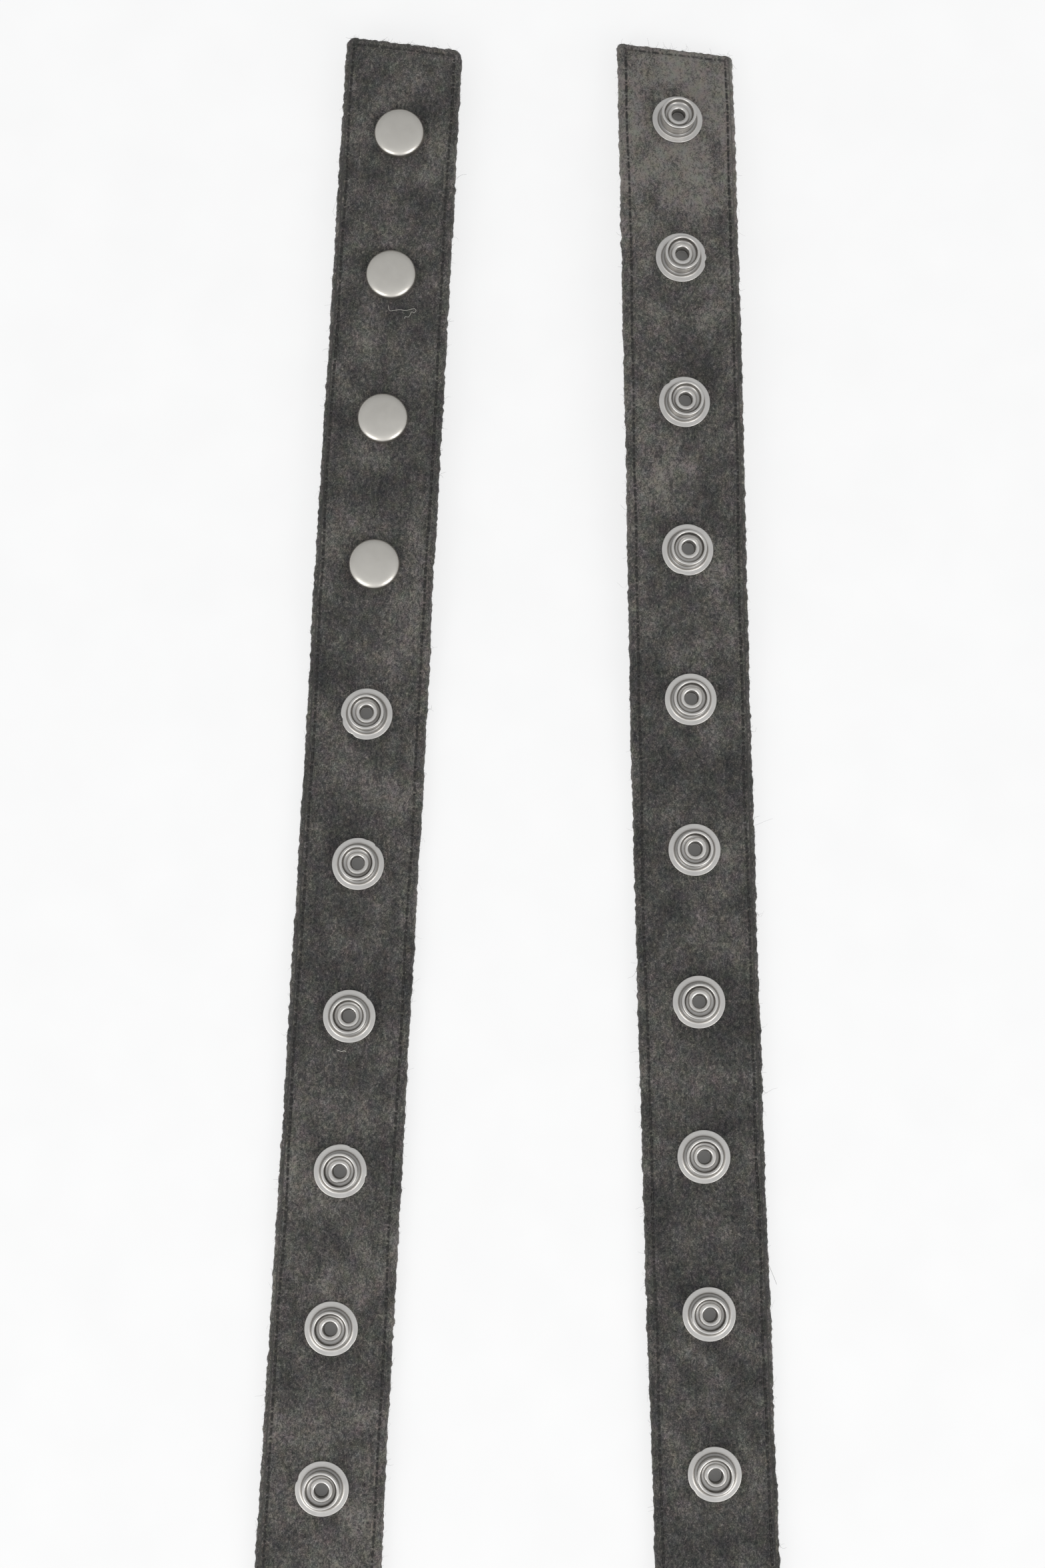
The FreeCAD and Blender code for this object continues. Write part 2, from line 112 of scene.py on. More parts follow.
# the snap after which each fold lies, half a pitch further on, and the snap that each piece of felt ends at
FOLD_SNAPS = {
    "left_tip_fold": 3,
    "left_mid_fold": 6,
    "left_base_fold": 9,
    "loop_bend": 14,
    "right_base_fold": 18,
    "right_mid_fold": 21,
    "right_tip_fold": 24,
}
FOLDS = {name: snap_place(number) + SNAP_PITCH / 2 for name, number in FOLD_SNAPS.items()}
RIGHT_ARM_START = FOLDS["right_base_fold"]
PIECE_END_SNAPS = [5, 8, 12, 16, 20, 23]
PIECE_BOUNDS = [0.0, *[snap_place(number) for number in PIECE_END_SNAPS], LENGTH]
SEGMENT_BOUNDS = [0.0, *FOLDS.values(), LENGTH]


def eased(share):
    share = np.clip(share, 0.0, 1.0)
    return share * share * (3 - 2 * share)


def heading(along):
    turned = (180 + LEFT_LEAN + RIGHT_LEAN) * eased((along - BEND_START) / BEND_LENGTH)
    right_arm = np.maximum(0.0, (along - RIGHT_ARM_START) / (LENGTH - RIGHT_ARM_START))
    return np.radians(-90 - LEFT_LEAN + turned - (RIGHT_LEAN - RIGHT_TIP_LEAN) * right_arm)


def roll(along):
    """Turn about the strap's own line: a quarter turn where it stands on edge."""
    standing = np.minimum(
        eased((along - TWIST_START) / TWIST_LENGTH), eased((TWIST_END - along) / TWIST_LENGTH)
    )
    return np.radians(90 * standing + TIP_ROLL * eased((along - TIP_ROLL_START) / TIP_ROLL_LENGTH))


def lift(along):
    on_sockets = SOCKET_DEPTH * (1 - eased((along - SOCKET_STEP_START) / SOCKET_STEP_LENGTH))
    rising = eased((along - ARCH_START) / (ARCH_PEAK - ARCH_START))
    falling = 1 - ((along - ARCH_PEAK) / (LENGTH - ARCH_PEAK)) ** 2
    return on_sockets + ARCH_HEIGHT * np.where(along < ARCH_PEAK, rising, falling)


def centre_height(along):
    turn = roll(along)
    edge = EDGE_RADIUS + POST_PROUD
    flat = (HALF_THICKNESS - EDGE_RADIUS) * np.cos(turn)
    return lift(along) + edge + flat + (HALF_WIDTH - edge) * np.sin(turn)


def slope(along):
    half = PATH_STEP / 2
    return (centre_height(along + half) - centre_height(along - half)) / PATH_STEP


def plan_line():
    """Places along the strap and its middle line seen from above, walked in small steps."""
    places = np.arange(-PATH_MARGIN, LENGTH + PATH_MARGIN + PATH_STEP / 2, PATH_STEP)
    middles = places[:-1] + PATH_STEP / 2
    run = PATH_STEP * np.sqrt(1 - slope(middles) ** 2)
    x = np.concatenate([[0.0], np.cumsum(run * np.cos(heading(middles)))])
    y = np.concatenate([[0.0], np.cumsum(run * np.sin(heading(middles)))])
    x += CAP_END[0] - np.interp(0.0, places, x)
    y += CAP_END[1] - np.interp(0.0, places, y)
    return places, x, y


PLAN = plan_line()


def strap_frame(along):
    """The middle line's points, and the directions forward, across (inwards) and up (out of the face)."""
    along = np.asarray(along, float)
    places, plan_x, plan_y = PLAN
    origin = np.stack(
        [np.interp(along, places, plan_x), np.interp(along, places, plan_y), centre_height(along)], -1
    )
    rise, course, turn = slope(along), heading(along), roll(along)[..., None]
    run = np.sqrt(1 - rise * rise)
    forward = np.stack([run * np.cos(course), run * np.sin(course), rise], -1)
    level = np.stack([-np.sin(course), np.cos(course), np.zeros_like(course)], -1)
    normal = np.cross(forward, level)
    across = level * np.cos(turn) + normal * np.sin(turn)
    up = normal * np.cos(turn) - level * np.sin(turn)
    return origin, forward, across, up


def strap_point(along, across, up):
    """Points given along, across and over the strap's middle, in millimetres in the row frame."""
    origin, _, sideways, upwards = strap_frame(along)
    return origin + sideways * np.asarray(across)[..., None] + upwards * np.asarray(up)[..., None]


# ---- meshes and materials ----


def make_mesh(name, points, faces, material, attributes):
    """A new smooth object from points in millimetres. attributes are (name, 1 or 3 numbers a point)."""
    mesh = bpy.data.meshes.new(name)
    mesh.from_pydata((np.asarray(points) * MM).tolist(), [], faces)
    for label, values in attributes:
        values = np.asarray(values, np.float32)
        kind, field = ("FLOAT_VECTOR", "vector") if values.ndim == 2 else ("FLOAT", "value")
        mesh.attributes.new(label, kind, "POINT").data.foreach_set(field, values.ravel())
    mesh.polygons.foreach_set("use_smooth", np.ones(len(mesh.polygons), bool))
    mesh.materials.append(material)
    mesh.update()
    piece = bpy.data.objects.new(name, mesh)
    bpy.context.scene.collection.objects.link(piece)
    return piece


def joined(parts):
    """Several lots of points and faces as one."""
    points, faces, start = [], [], 0
    for part_points, part_faces in parts:
        points.append(part_points)
        faces += [[corner + start for corner in face] for face in part_faces]
        start += len(part_points)
    return np.concatenate(points), faces


class Nodes:
    """A short way to write a material's or a world's nodes: each call makes one and returns an output."""

    def __init__(self, owner, shader):
        owner.use_nodes = True
        self.owner = owner
        self.tree = owner.node_tree
        self.shader = self.tree.nodes[shader]

    def make(self, kind, inputs=(), output=0, **settings):
        node = self.tree.nodes.new("ShaderNode" + kind)
        for key, value in settings.items():
            setattr(node, key, value)
        for socket, value in dict(inputs).items():
            self.set(node.inputs[socket], value)
        return node.outputs[output]

    def set(self, socket, value):
        if isinstance(value, bpy.types.NodeSocket):
            self.tree.links.new(value, socket)
        else:
            socket.default_value = value

    def attribute(self, name, output="Vector"):
        return self.make("Attribute", output=output, attribute_name=name)

    def math(self, operation, first, second=0.0, third=0.0):
        return self.make("Math", {0: first, 1: second, 2: third}, operation=operation)

    def scaled(self, vector, factors):
        return self.make("VectorMath", {0: vector, 1: factors}, operation="MULTIPLY")

    def added(self, vector, other):
        return self.make("VectorMath", {0: vector, 1: other}, operation="ADD")

    def noise(self, vector, scale, detail=3.0, roughness=0.55, distortion=0.0, output=0):
        inputs = {"Vector": vector, "Scale": scale, "Detail": detail, "Roughness": roughness}
        inputs["Distortion"] = distortion
        return self.make("TexNoise", inputs, output, noise_type="FBM")

    def ranged(self, value, low, high, to_low=0.0, to_high=1.0):
        inputs = {"Value": value, 1: low, 2: high, 3: to_low, 4: to_high}
        return self.make("MapRange", inputs, interpolation_type="SMOOTHSTEP")

    def ramp(self, value, stops):
        node = self.tree.nodes.new("ShaderNodeValToRGB")
        self.tree.links.new(value, node.inputs[0])
        elements = node.color_ramp.elements
        while len(elements) < len(stops):
            elements.new(0.5)
        for element, (place, color) in zip(elements, stops):
            element.position = place
            element.color = (*color, 1)
        return node.outputs[0]

    def mixed(self, factor, first, second, blend="MIX"):
        inputs = {0: factor, 6: first, 7: second}
        return self.make("Mix", inputs, output=2, data_type="RGBA", blend_type=blend)

    def bump(self, height, strength, distance):
        return self.make("Bump", {"Height": height, "Strength": strength, "Distance": distance})

    def surface(self, **inputs):
        for name, value in inputs.items():
            self.set(self.shader.inputs[name.replace("_", " ")], value)
        return self.owner


def material_nodes(name):
    return Nodes(bpy.data.materials.new(name), "Principled BSDF")


def streaks(nodes, bent, angle):
    """Wisps of wool about a third of a millimetre wide and one long, lying at an angle to the strap."""
    turned = nodes.make("VectorRotate", {"Vector": bent, "Angle": angle}, rotation_type="Z_AXIS")
    return nodes.noise(nodes.scaled(turned, (0.3, 1.0, 1.0)), 2.1, 2.0, 0.7)


WANDER = 2.2
STREAK_ANGLES = (0.05, 0.62, -0.7, 1.5)
# painted shade: how far from a stitch line and from a stitch hole the felt is darkened, and how strongly
STITCH_LINE_SHADE_EDGE, STITCH_LINE_SHADE_STRENGTH = (0.15, 0.6), 0.7
STITCH_HOLE_SHADE_EDGE, STITCH_HOLE_SHADE_STRENGTH = (0.2, 0.55), 0.8
# where along the strap the felt is paler, and by how much of its whole range of tones
PALER_FELT = [
    (0.0, 0.06), (60.0, 0.02), (310.0, 0.0), (350.0, 0.09), (420.0, 0.08), (500.0, 0.0),
    (1110.0, 0.0), (1150.0, 0.1), (1190.0, 0.0), (1238.0, 0.26), (1285.0, 0.31),
]  # fmt: skip


def felt_material():
    """Dense grey wool felt: clouds, wisps of fibre, flecks, painted shade along the stitch lines and round
    the stitch holes, and paler stretches.
    """
    nodes = material_nodes("wool_felt")
    place = nodes.attribute("strap_place")
    wander = nodes.added(nodes.noise(place, 0.28, 2.0, output=1), (-0.5, -0.5, -0.5))
    bent = nodes.added(place, nodes.scaled(wander, (WANDER, WANDER, 0.0)))
    patches = nodes.noise(place, 0.055, 2.0, 0.5)
    clouds = nodes.noise(nodes.scaled(bent, (0.7, 1.0, 1.0)), 0.16, 4.0, 0.65)
    mottle = nodes.noise(nodes.scaled(bent, (0.8, 1.0, 1.0)), 1.0, 4.0, 0.9)
    grain = nodes.noise(place, 2.6, 1.0, 0.7)
    lengthwise, leaning, counter, crossing = (streaks(nodes, bent, angle) for angle in STREAK_ANGLES)
    tone = nodes.math("MULTIPLY_ADD", patches, 0.7, -0.35)
    along = nodes.math("DIVIDE", nodes.make("SeparateXYZ", {0: place}), LENGTH)
    paler = nodes.ramp(along, [(spot / LENGTH, (tone_rise,) * 3) for spot, tone_rise in PALER_FELT])
    tone = nodes.math("ADD", tone, paler)
    for texture, weight in (
        (clouds, 0.75),
        (mottle, 1.75),
        (lengthwise, 0.35),
        (leaning, 0.45),
        (counter, 0.45),
        (crossing, 0.25),
        (grain, 0.75),
    ):
        tone = nodes.math("ADD", tone, nodes.math("MULTIPLY_ADD", texture, weight, -weight / 2))
    tone = nodes.math("ADD", tone, 0.5)
    color = nodes.ramp(tone, [
        (0.1, (0.022, 0.0225, 0.023)),
        (0.42, (0.058, 0.0565, 0.0538)),
        (0.64, (0.108, 0.102, 0.094)),
        (0.92, (0.24, 0.222, 0.2)),
    ])
    hue = nodes.noise(place, 0.3, 3.0, 0.6, output=1)
    color = nodes.mixed(0.17, color, hue, "OVERLAY")
    flecks = nodes.make("TexVoronoi", {"Vector": bent, "Scale": 0.27, "Randomness": 1.0})
    color = nodes.mixed(nodes.ranged(flecks, 0.02, 0.05, 0.6, 0.0), color, (0.3, 0.28, 0.25, 1))
    splitter = nodes.make("SeparateXYZ", {0: nodes.attribute("stitch_place")}).node
    phase, away = splitter.outputs[0], splitter.outputs[1]
    # painted shade along each stitch line, made patchy by the mottle, and round each stitch hole, mixed
    # towards near black
    wear_and_shade_mask = nodes.ranged(mottle, 0.35, 0.65, 0.65, 1.0)
    line = nodes.math("MULTIPLY", nodes.ranged(away, *STITCH_LINE_SHADE_EDGE, STITCH_LINE_SHADE_STRENGTH, 0.0), wear_and_shade_mask)
    along_hole = nodes.math("MULTIPLY", nodes.math("PINGPONG", phase, 0.5), STITCH_PITCH)
    line = nodes.math("MULTIPLY", line, nodes.ranged(along_hole, 0.6, 1.2, 0.2, 1.0))
    squares = nodes.math("MULTIPLY_ADD", along_hole, along_hole, nodes.math("MULTIPLY", away, away))
    hole_shade = nodes.ranged(nodes.math("SQRT", squares), *STITCH_HOLE_SHADE_EDGE, STITCH_HOLE_SHADE_STRENGTH, 0.0)
    color = nodes.mixed(nodes.math("MAXIMUM", line, hole_shade), color, (0.013, 0.0125, 0.0125, 1))
    height = nodes.math("MULTIPLY_ADD", mottle, 0.5, nodes.math("MULTIPLY", lengthwise, 0.6))
    height = nodes.math("ADD", height, nodes.math("MULTIPLY", nodes.math("ADD", leaning, counter), 0.4))
    height = nodes.math("MULTIPLY_ADD", grain, 0.25, height)
    normal = nodes.bump(height, 0.8, 0.5 * MM)
    return nodes.surface(
        Base_Color=color,
        Roughness=0.93,
        Specular_IOR_Level=0.18,
        Sheen_Weight=0.22,
        Sheen_Roughness=0.45,
        Sheen_Tint=(0.75, 0.73, 0.7, 1),
        Normal=normal,
    )


def thread_material():
    """Matt dark grey sewing thread with fine strands, and a painted pale highlight where a stitch turns
    down into the felt.
    """
    nodes = material_nodes("sewing_thread")
    place = nodes.attribute("strap_place")
    wave = {"Vector": place, "Scale": 1.6, "Distortion": 1.0}
    twist = nodes.make("TexWave", wave, bands_direction="DIAGONAL")
    color = nodes.ramp(twist, [(0.2, (0.03, 0.03, 0.029)), (0.9, (0.062, 0.06, 0.057))])
    # painted highlight: the thread turns pale towards each stitch's ends
    end = nodes.ranged(nodes.attribute("stitch_end", "Fac"), 0.55, 0.9, 0.0, 0.8)
    color = nodes.mixed(end, color, (0.2, 0.195, 0.175, 1))
    return nodes.surface(
        Base_Color=color, Roughness=0.8, Specular_IOR_Level=0.25, Normal=nodes.bump(twist, 0.5, 0.06 * MM)
    )


def fibre_material():
    """Loose wool fibres, from dark to pale grey by their own tone."""
    nodes = material_nodes("wool_fibre")
    tone = nodes.attribute("tone", "Fac")
    grain = nodes.noise(nodes.attribute("strap_place"), 0.9, 2.0)
    tone = nodes.math("MULTIPLY_ADD", grain, 0.3, nodes.math("SUBTRACT", tone, 0.15))
    color = nodes.ramp(tone, [
        (0.0, (0.045, 0.044, 0.041)),
        (0.7, (0.13, 0.126, 0.118)),
        (1.0, (0.36, 0.35, 0.33)),
    ])
    return nodes.surface(
        Base_Color=color, Roughness=0.85, Specular_IOR_Level=0.3, Sheen_Weight=0.2, Sheen_Roughness=0.4
    )


def lint_material():
    """A stray end of off-white cotton thread."""
    nodes = material_nodes("cotton_lint")
    grain = nodes.noise(nodes.attribute("strap_place"), 3.0, 2.0)
    color = nodes.ramp(grain, [(0.3, (0.33, 0.32, 0.29)), (0.7, (0.62, 0.6, 0.55))])
    return nodes.surface(Base_Color=color, Roughness=0.8)


# the colour of the painted shade in the snaps' bores, bowls and ring grooves
PAINTED_SHADE_COLOR = (0.1, 0.097, 0.093, 1)


def metal_material(name, dark, light, roughness, cloud_scale=0.35):
    """Satin plated metal with faint clouds, fine pits and small scratches, and painted shade in its hollows
    from a per-point mask.
    """
    nodes = material_nodes(name)
    place = nodes.scaled(nodes.make("TexCoord", output="Object"), (1 / MM, 1 / MM, 1 / MM))
    clouds = nodes.noise(place, cloud_scale, 3.0, 0.6)
    grain = nodes.noise(place, 7.0, 3.0, 0.6)
    scratches = nodes.noise(nodes.scaled(place, (0.25, 2.4, 1.0)), 1.6, 4.0, 0.7, 0.4)
    wear_and_shade_mask = nodes.ranged(scratches, 0.62, 0.72)
    color = nodes.ramp(clouds, [(0.3, dark), (0.7, light)])
    color = nodes.mixed(nodes.math("MULTIPLY", wear_and_shade_mask, 0.15), color, (*light, 1))
    # painted shade: the bores, bowls and ring grooves turn dark where the per-point mask is set
    color = nodes.mixed(nodes.attribute("grime", "Fac"), color, PAINTED_SHADE_COLOR)
    varied = nodes.math("MULTIPLY_ADD", clouds, 0.16, roughness - 0.08)
    rough = nodes.math("MULTIPLY_ADD", grain, 0.06, nodes.math("SUBTRACT", varied, 0.03))
    height = nodes.math("MULTIPLY_ADD", scratches, 0.4, grain)
    return nodes.surface(
        Base_Color=color, Metallic=1.0, Roughness=rough, Normal=nodes.bump(height, 0.08, 0.02 * MM)
    )


# ---- the felt's skin ----

FACE_COLUMNS = 84
FINE_STEPS = 2001
DENSER, DENSER_REACH = 1.6, 1.1
EDGE_ARC_STEPS = 6
EDGE_WALL_STEPS = 5
ROW_STEP = 0.54
END_ROUND = 1.5
END_STEPS = 8
CAP_END_CORNER = 2.9
STUD_END_CORNER = 1.5
THINNEST_END = 0.12
END_RAGGEDNESS = 0.17
WAVE_HEIGHT = 0.07
LUMP_HEIGHT = 0.05
NAP_HEIGHT = 0.035
EDGE_BUMP_HEIGHT = 0.11
EDGE_NAP_HEIGHT = 0.04
SEAM_DEPTH = 0.3
SEAM_WIDTH = 0.2
STITCH_INSET = 2.4
STITCH_PITCH = 4.0
ROW_SWAY = 0.16
SWAY_PLACES = {1: 0.2, -1: 0.02}
GROOVE_DEPTH = 0.3
GROOVE_WIDTH = 0.42
PUCKER, PUCKER_PLACE, PUCKER_WIDTH = 0.09, 1.3, 0.9
FLANGE_REACH = 7.75
CLAMPED_UNDER = 0.43
DENT_SLOPE = 2.0
SWELL, SWELL_RADIUS, SWELL_WIDTH = 0.1, 10.6, 1.5
FLOOR = 0.02
ROW_RADIUS = HALF_WIDTH - STITCH_INSET


def face_columns():
    """Places across the flat face, closer together by the two rows of stitches."""
    flat = HALF_WIDTH - EDGE_RADIUS
    fine = np.linspace(-flat, flat, FINE_STEPS)
    density = 1 + DENSER * np.exp(-(((np.abs(fine) - ROW_RADIUS) / DENSER_REACH) ** 2))
    share = np.concatenate([[0.0], np.cumsum((density[1:] + density[:-1]) / 2)])
    return np.interp(np.linspace(0, share[-1], FACE_COLUMNS), share, fine)


def skin_outline():
    """The strap's outline, once round from the face's outer side: points, normals and distance round."""
    flat, wall = HALF_WIDTH - EDGE_RADIUS, HALF_THICKNESS - EDGE_RADIUS
    face = [((x, HALF_THICKNESS), (0.0, 1.0)) for x in face_columns()]
    angles = [math.pi / 2 * (1 - step / EDGE_ARC_STEPS) for step in range(1, EDGE_ARC_STEPS + 1)]
    arc = [
        ((flat + EDGE_RADIUS * math.cos(angle), wall + EDGE_RADIUS * math.sin(angle)),
         (math.cos(angle), math.sin(angle)))
        for angle in angles
    ]  # fmt: skip
    heights = [wall * (1 - 2 * step / EDGE_WALL_STEPS) for step in range(1, EDGE_WALL_STEPS)]
    side = [((HALF_WIDTH, height), (1.0, 0.0)) for height in heights]
    mirrored = [((x, -z), (out, -over)) for (x, z), (out, over) in reversed(arc)]
    half = np.array([*face, *arc, *side, *mirrored])
    outline, normals = np.concatenate([half, -half]).transpose(1, 0, 2)
    distance = np.concatenate([[0.0], np.cumsum(np.hypot(*np.diff(outline, axis=0).T))])
    return outline, normals, distance


OUTLINE, OUTLINE_NORMALS, ROUND = skin_outline()
COLUMNS = len(OUTLINE)
HALF_COLUMNS = COLUMNS // 2
ROUND_LENGTH = ROUND[-1] + np.hypot(*(OUTLINE[0] - OUTLINE[-1]))


def between(grid, rows, columns, shares):
    """A grid's values between its points, from the two nearest rows and columns and the shares of each."""
    row_share, column_share = shares
    near = grid[rows[0], columns[0]] * (1 - column_share) + grid[rows[0], columns[1]] * column_share
    far = grid[rows[1], columns[0]] * (1 - column_share) + grid[rows[1], columns[1]] * column_share
    return near * (1 - row_share) + far * row_share


def soft_noise(seed, size_along, size_round):
    """A smooth random field over the strap's skin, as a function of (along, round), about -2 to 2."""
    cell = min(size_along, size_round) / 2.2
    rows, columns = int(LENGTH / cell), max(8, int(ROUND_LENGTH / cell))
    field = np.fft.rfft2(np.random.default_rng(seed).standard_normal((rows, columns)))
    wave_along = np.fft.fftfreq(rows, LENGTH / rows)[:, None] * size_along
    wave_round = np.fft.rfftfreq(columns, ROUND_LENGTH / columns)[None] * size_round
    field *= np.exp(-2 * math.pi**2 * 0.16 * (wave_along**2 + wave_round**2))
    field = np.fft.irfft2(field, (rows, columns))
    field /= field.std()

    def sample(along, around):
        row, column = along / LENGTH * rows, around / ROUND_LENGTH * columns
        low_row, low_column = np.floor(row).astype(int), np.floor(column).astype(int)
        two_rows = low_row % rows, (low_row + 1) % rows
        two_columns = low_column % columns, (low_column + 1) % columns
        return between(field, two_rows, two_columns, (row - low_row, column - low_column))

    return sample


WAVE = soft_noise(11, 16.0, 16.0)
LUMPS = soft_noise(12, 3.4, 2.6)
NAP = soft_noise(13, 1.5, 1.2)
EDGE_BUMPS = soft_noise(14, 0.8, 2.4)
ROW_WANDER = soft_noise(15, 22.0, 30.0)


def row_offset(along, side):
    """Where a long row of stitches lies across the strap: side is 1 for the inner row, -1 for the outer."""
    around = np.full_like(along, ROUND_LENGTH * SWAY_PLACES[side])
    return side * (ROW_RADIUS + ROW_SWAY * ROW_WANDER(along, around))


def stitch_distance(along, across):
    """How far a point is from the nearest row of stitches, and where it is in that row, in stitches."""
    from_end = np.minimum(along, LENGTH - along)
    beyond = np.maximum(0.0, STITCH_INSET - from_end)
    offset = np.where(across > 0, row_offset(along, 1), row_offset(along, -1))
    long_row = np.hypot(across - offset, beyond)
    end_row = np.hypot(from_end - STITCH_INSET, np.maximum(0.0, np.abs(across) - ROW_RADIUS))
    distance = np.minimum(long_row, end_row)
    phase = np.where(long_row <= end_row, along, across) / STITCH_PITCH
    return distance, phase


def snap_distance(along, across):
    number = np.clip(np.round((along - CAP_END_MARGIN) / SNAP_PITCH), 0, SNAP_COUNT - 1)
    return np.hypot(along - snap_place(number), across)


def skewed(along, across):
    """The ends are cut at a slant, which fades out a little way in."""
    cap_end = math.tan(CAP_END_SKEW) * (1 - eased(along / SKEW_REACH))
    stud_end = math.tan(STUD_END_SKEW) * (1 - eased((LENGTH - along) / SKEW_REACH))
    return along + across * (cap_end + stud_end)


def row_places():
    """The places of the skin's rows, closer at its rounded ends, and the row that each piece starts at."""
    end = END_ROUND * (1 - np.cos(np.linspace(0, math.pi / 2, END_STEPS)))
    places, bounds = [end[:-1]], [0]
    stops = [END_ROUND, *PIECE_BOUNDS[1:-1], LENGTH - END_ROUND]
    for start, stop in zip(stops, stops[1:]):
        steps = round((stop - start) / ROW_STEP)
        places.append(start + (stop - start) * np.arange(steps) / steps)
        bounds.append(sum(len(part) for part in places))
    places.append(LENGTH - end[::-1])
    bounds[-1] = sum(len(part) for part in places) - 1
    return np.concatenate(places), bounds


def skin():
    """The whole strap's skin as rows of points, with its normals and what the materials read from it."""
    places, bounds = row_places()
    along = np.repeat(places[:, None], COLUMNS, 1)
    around = np.repeat(ROUND[None], len(places), 0)
    across, up = (np.repeat(OUTLINE[None, :, axis], len(places), 0) for axis in (0, 1))
    out_across, out_up = (OUTLINE_NORMALS[None, :, axis] for axis in (0, 1))

    distance, phase = stitch_distance(along, across)
    from_snap = snap_distance(along, across)
    flatness = np.abs(out_up) ** 2
    nap = NAP(along, around)
    relief = WAVE_HEIGHT * WAVE(along, around) + LUMP_HEIGHT * LUMPS(along, around) + NAP_HEIGHT * nap
    relief = relief * (0.35 + 0.65 * eased((from_snap - FLANGE_REACH) / 3))
    pull = 0.78 - 0.22 * np.cos(math.tau * phase)
    relief -= GROOVE_DEPTH * pull * np.exp(-((distance / GROOVE_WIDTH) ** 2))
    puckered = np.exp(-(((distance - PUCKER_PLACE) / PUCKER_WIDTH) ** 2))
    relief += PUCKER * np.cos(math.tau * phase + math.pi) * puckered
    relief -= flatness * CLAMPED_UNDER * (1 - eased((from_snap - FLANGE_REACH) / DENT_SLOPE))
    relief += flatness * SWELL * np.exp(-(((from_snap - SWELL_RADIUS) / SWELL_WIDTH) ** 2))
    edge = 1 - flatness
    relief += edge * (EDGE_BUMP_HEIGHT * EDGE_BUMPS(along, around) + EDGE_NAP_HEIGHT * nap)
    relief -= edge * SEAM_DEPTH * np.exp(-((up / SEAM_WIDTH) ** 2))
    relief = np.where(from_snap < FLANGE_REACH, -flatness * CLAMPED_UNDER, relief)
    across, up = across + out_across * relief, up + out_up * relief

    from_end = np.minimum(along, LENGTH - along)
    round_share = np.clip(from_end / END_ROUND, 0, 1)
    thickness = np.sqrt(np.maximum(1 - (1 - round_share) ** 2, THINNEST_END**2))
    corner = np.where(along < LENGTH / 2, CAP_END_CORNER, STUD_END_CORNER)
    corner_share = np.clip(from_end / corner, 0, 1)
    inset = corner * (1 - np.sqrt(1 - (1 - corner_share) ** 2))
    across = across * (1 - inset / HALF_WIDTH)
    outwards = np.where(along < LENGTH / 2, -1.0, 1.0)
    ragged = END_RAGGEDNESS * EDGE_BUMPS(around, along) * outwards * (1 - round_share) ** 2
    points = strap_point(skewed(along, across) + ragged, across, up * thickness)
    points[..., 2] = np.maximum(points[..., 2], FLOOR)

    forward = np.gradient(points, axis=0)
    sideways = np.roll(points, -1, 1) - np.roll(points, 1, 1)
    normals = np.cross(sideways, forward)
    normals /= np.maximum(np.linalg.norm(normals, axis=-1, keepdims=True), 1e-9)
    return {
        "bounds": bounds,
        "points": points,
        "normals": normals,
        "strap_place": np.stack([along, around, np.zeros_like(along)], -1),
        "stitch_place": np.stack([phase, distance, from_snap], -1),
    }


def cap_pairs():
    """Columns of the skin that face each other through its thickness, from the right edge to the left."""
    first = FACE_COLUMNS + (HALF_COLUMNS - FACE_COLUMNS) // 2
    steps = np.arange(HALF_COLUMNS)
    return np.stack([(first - 1 - steps) % COLUMNS, (first + steps) % COLUMNS], -1)


def felt_piece(fold, number, skin_parts, material):
    """One closed length of felt. Its normals come from the whole skin, so no seam shows between two."""
    low, high = skin_parts["bounds"][number], skin_parts["bounds"][number + 1]
    rows = high - low + 1
    points = skin_parts["points"][low : high + 1].reshape(-1, 3)
    normals = skin_parts["normals"][low : high + 1].reshape(-1, 3)
    row, column = np.meshgrid(np.arange(rows - 1), np.arange(COLUMNS), indexing="ij")
    near, far = row * COLUMNS, (row + 1) * COLUMNS
    following = (column + 1) % COLUMNS
    sides = np.stack([near + column, near + following, far + following, far + column], -1).reshape(-1, 4)
    pairs, last = cap_pairs(), (rows - 1) * COLUMNS
    start_cap = np.hstack([pairs[:-1], pairs[1:, ::-1]])
    stop_cap = last + np.hstack([pairs[:-1, :1], pairs[1:], pairs[:-1, 1:]])
    faces = np.concatenate([sides, start_cap, stop_cap]).tolist()
    attributes = [
        (label, skin_parts[label][low : high + 1].reshape(-1, 3))
        for label in ("strap_place", "stitch_place")
    ]
    piece = make_mesh(f"felt_{fold}", points, faces, material, attributes)
    edge_points = np.empty(2 * len(piece.data.edges), int)
    piece.data.edges.foreach_get("vertices", edge_points)
    edge_rows = edge_points.reshape(-1, 2) // COLUMNS
    on_rim = (edge_rows[:, 0] == edge_rows[:, 1]) & np.isin(edge_rows[:, 0], (0, rows - 1))
    piece.data.attributes.new("sharp_edge", "BOOLEAN", "EDGE").data.foreach_set("value", on_rim)
    loop_points = np.empty(len(piece.data.loops), int)
    piece.data.loops.foreach_get("vertex_index", loop_points)
    loop_normals = normals[loop_points]
    side_loops, cap_loops = 4 * len(sides), 4 * len(start_cap)
    middles = points.reshape(rows, COLUMNS, 3).mean(1)
    for begin, end_row, inner_row in ((side_loops, 0, 1), (side_loops + cap_loops, -1, -2)):
        outward = middles[end_row] - middles[inner_row]
        loop_normals[begin : begin + cap_loops] = outward / np.linalg.norm(outward)
    piece.data.normals_split_custom_set(loop_normals.tolist())
    return piece


# ---- stitches ----

STITCH_GAP = 0.5
STITCH_RADIUS = 0.21
STITCH_RINGS = 9
STITCH_SIDES = 6
STITCH_SUNK = 0.22
STITCH_DIVE = 0.42
STRAND_SWELL = 0.1
STRAND_TURNS = 9
STITCH_WOBBLE = 0.05
BACK_SHIFT = 50


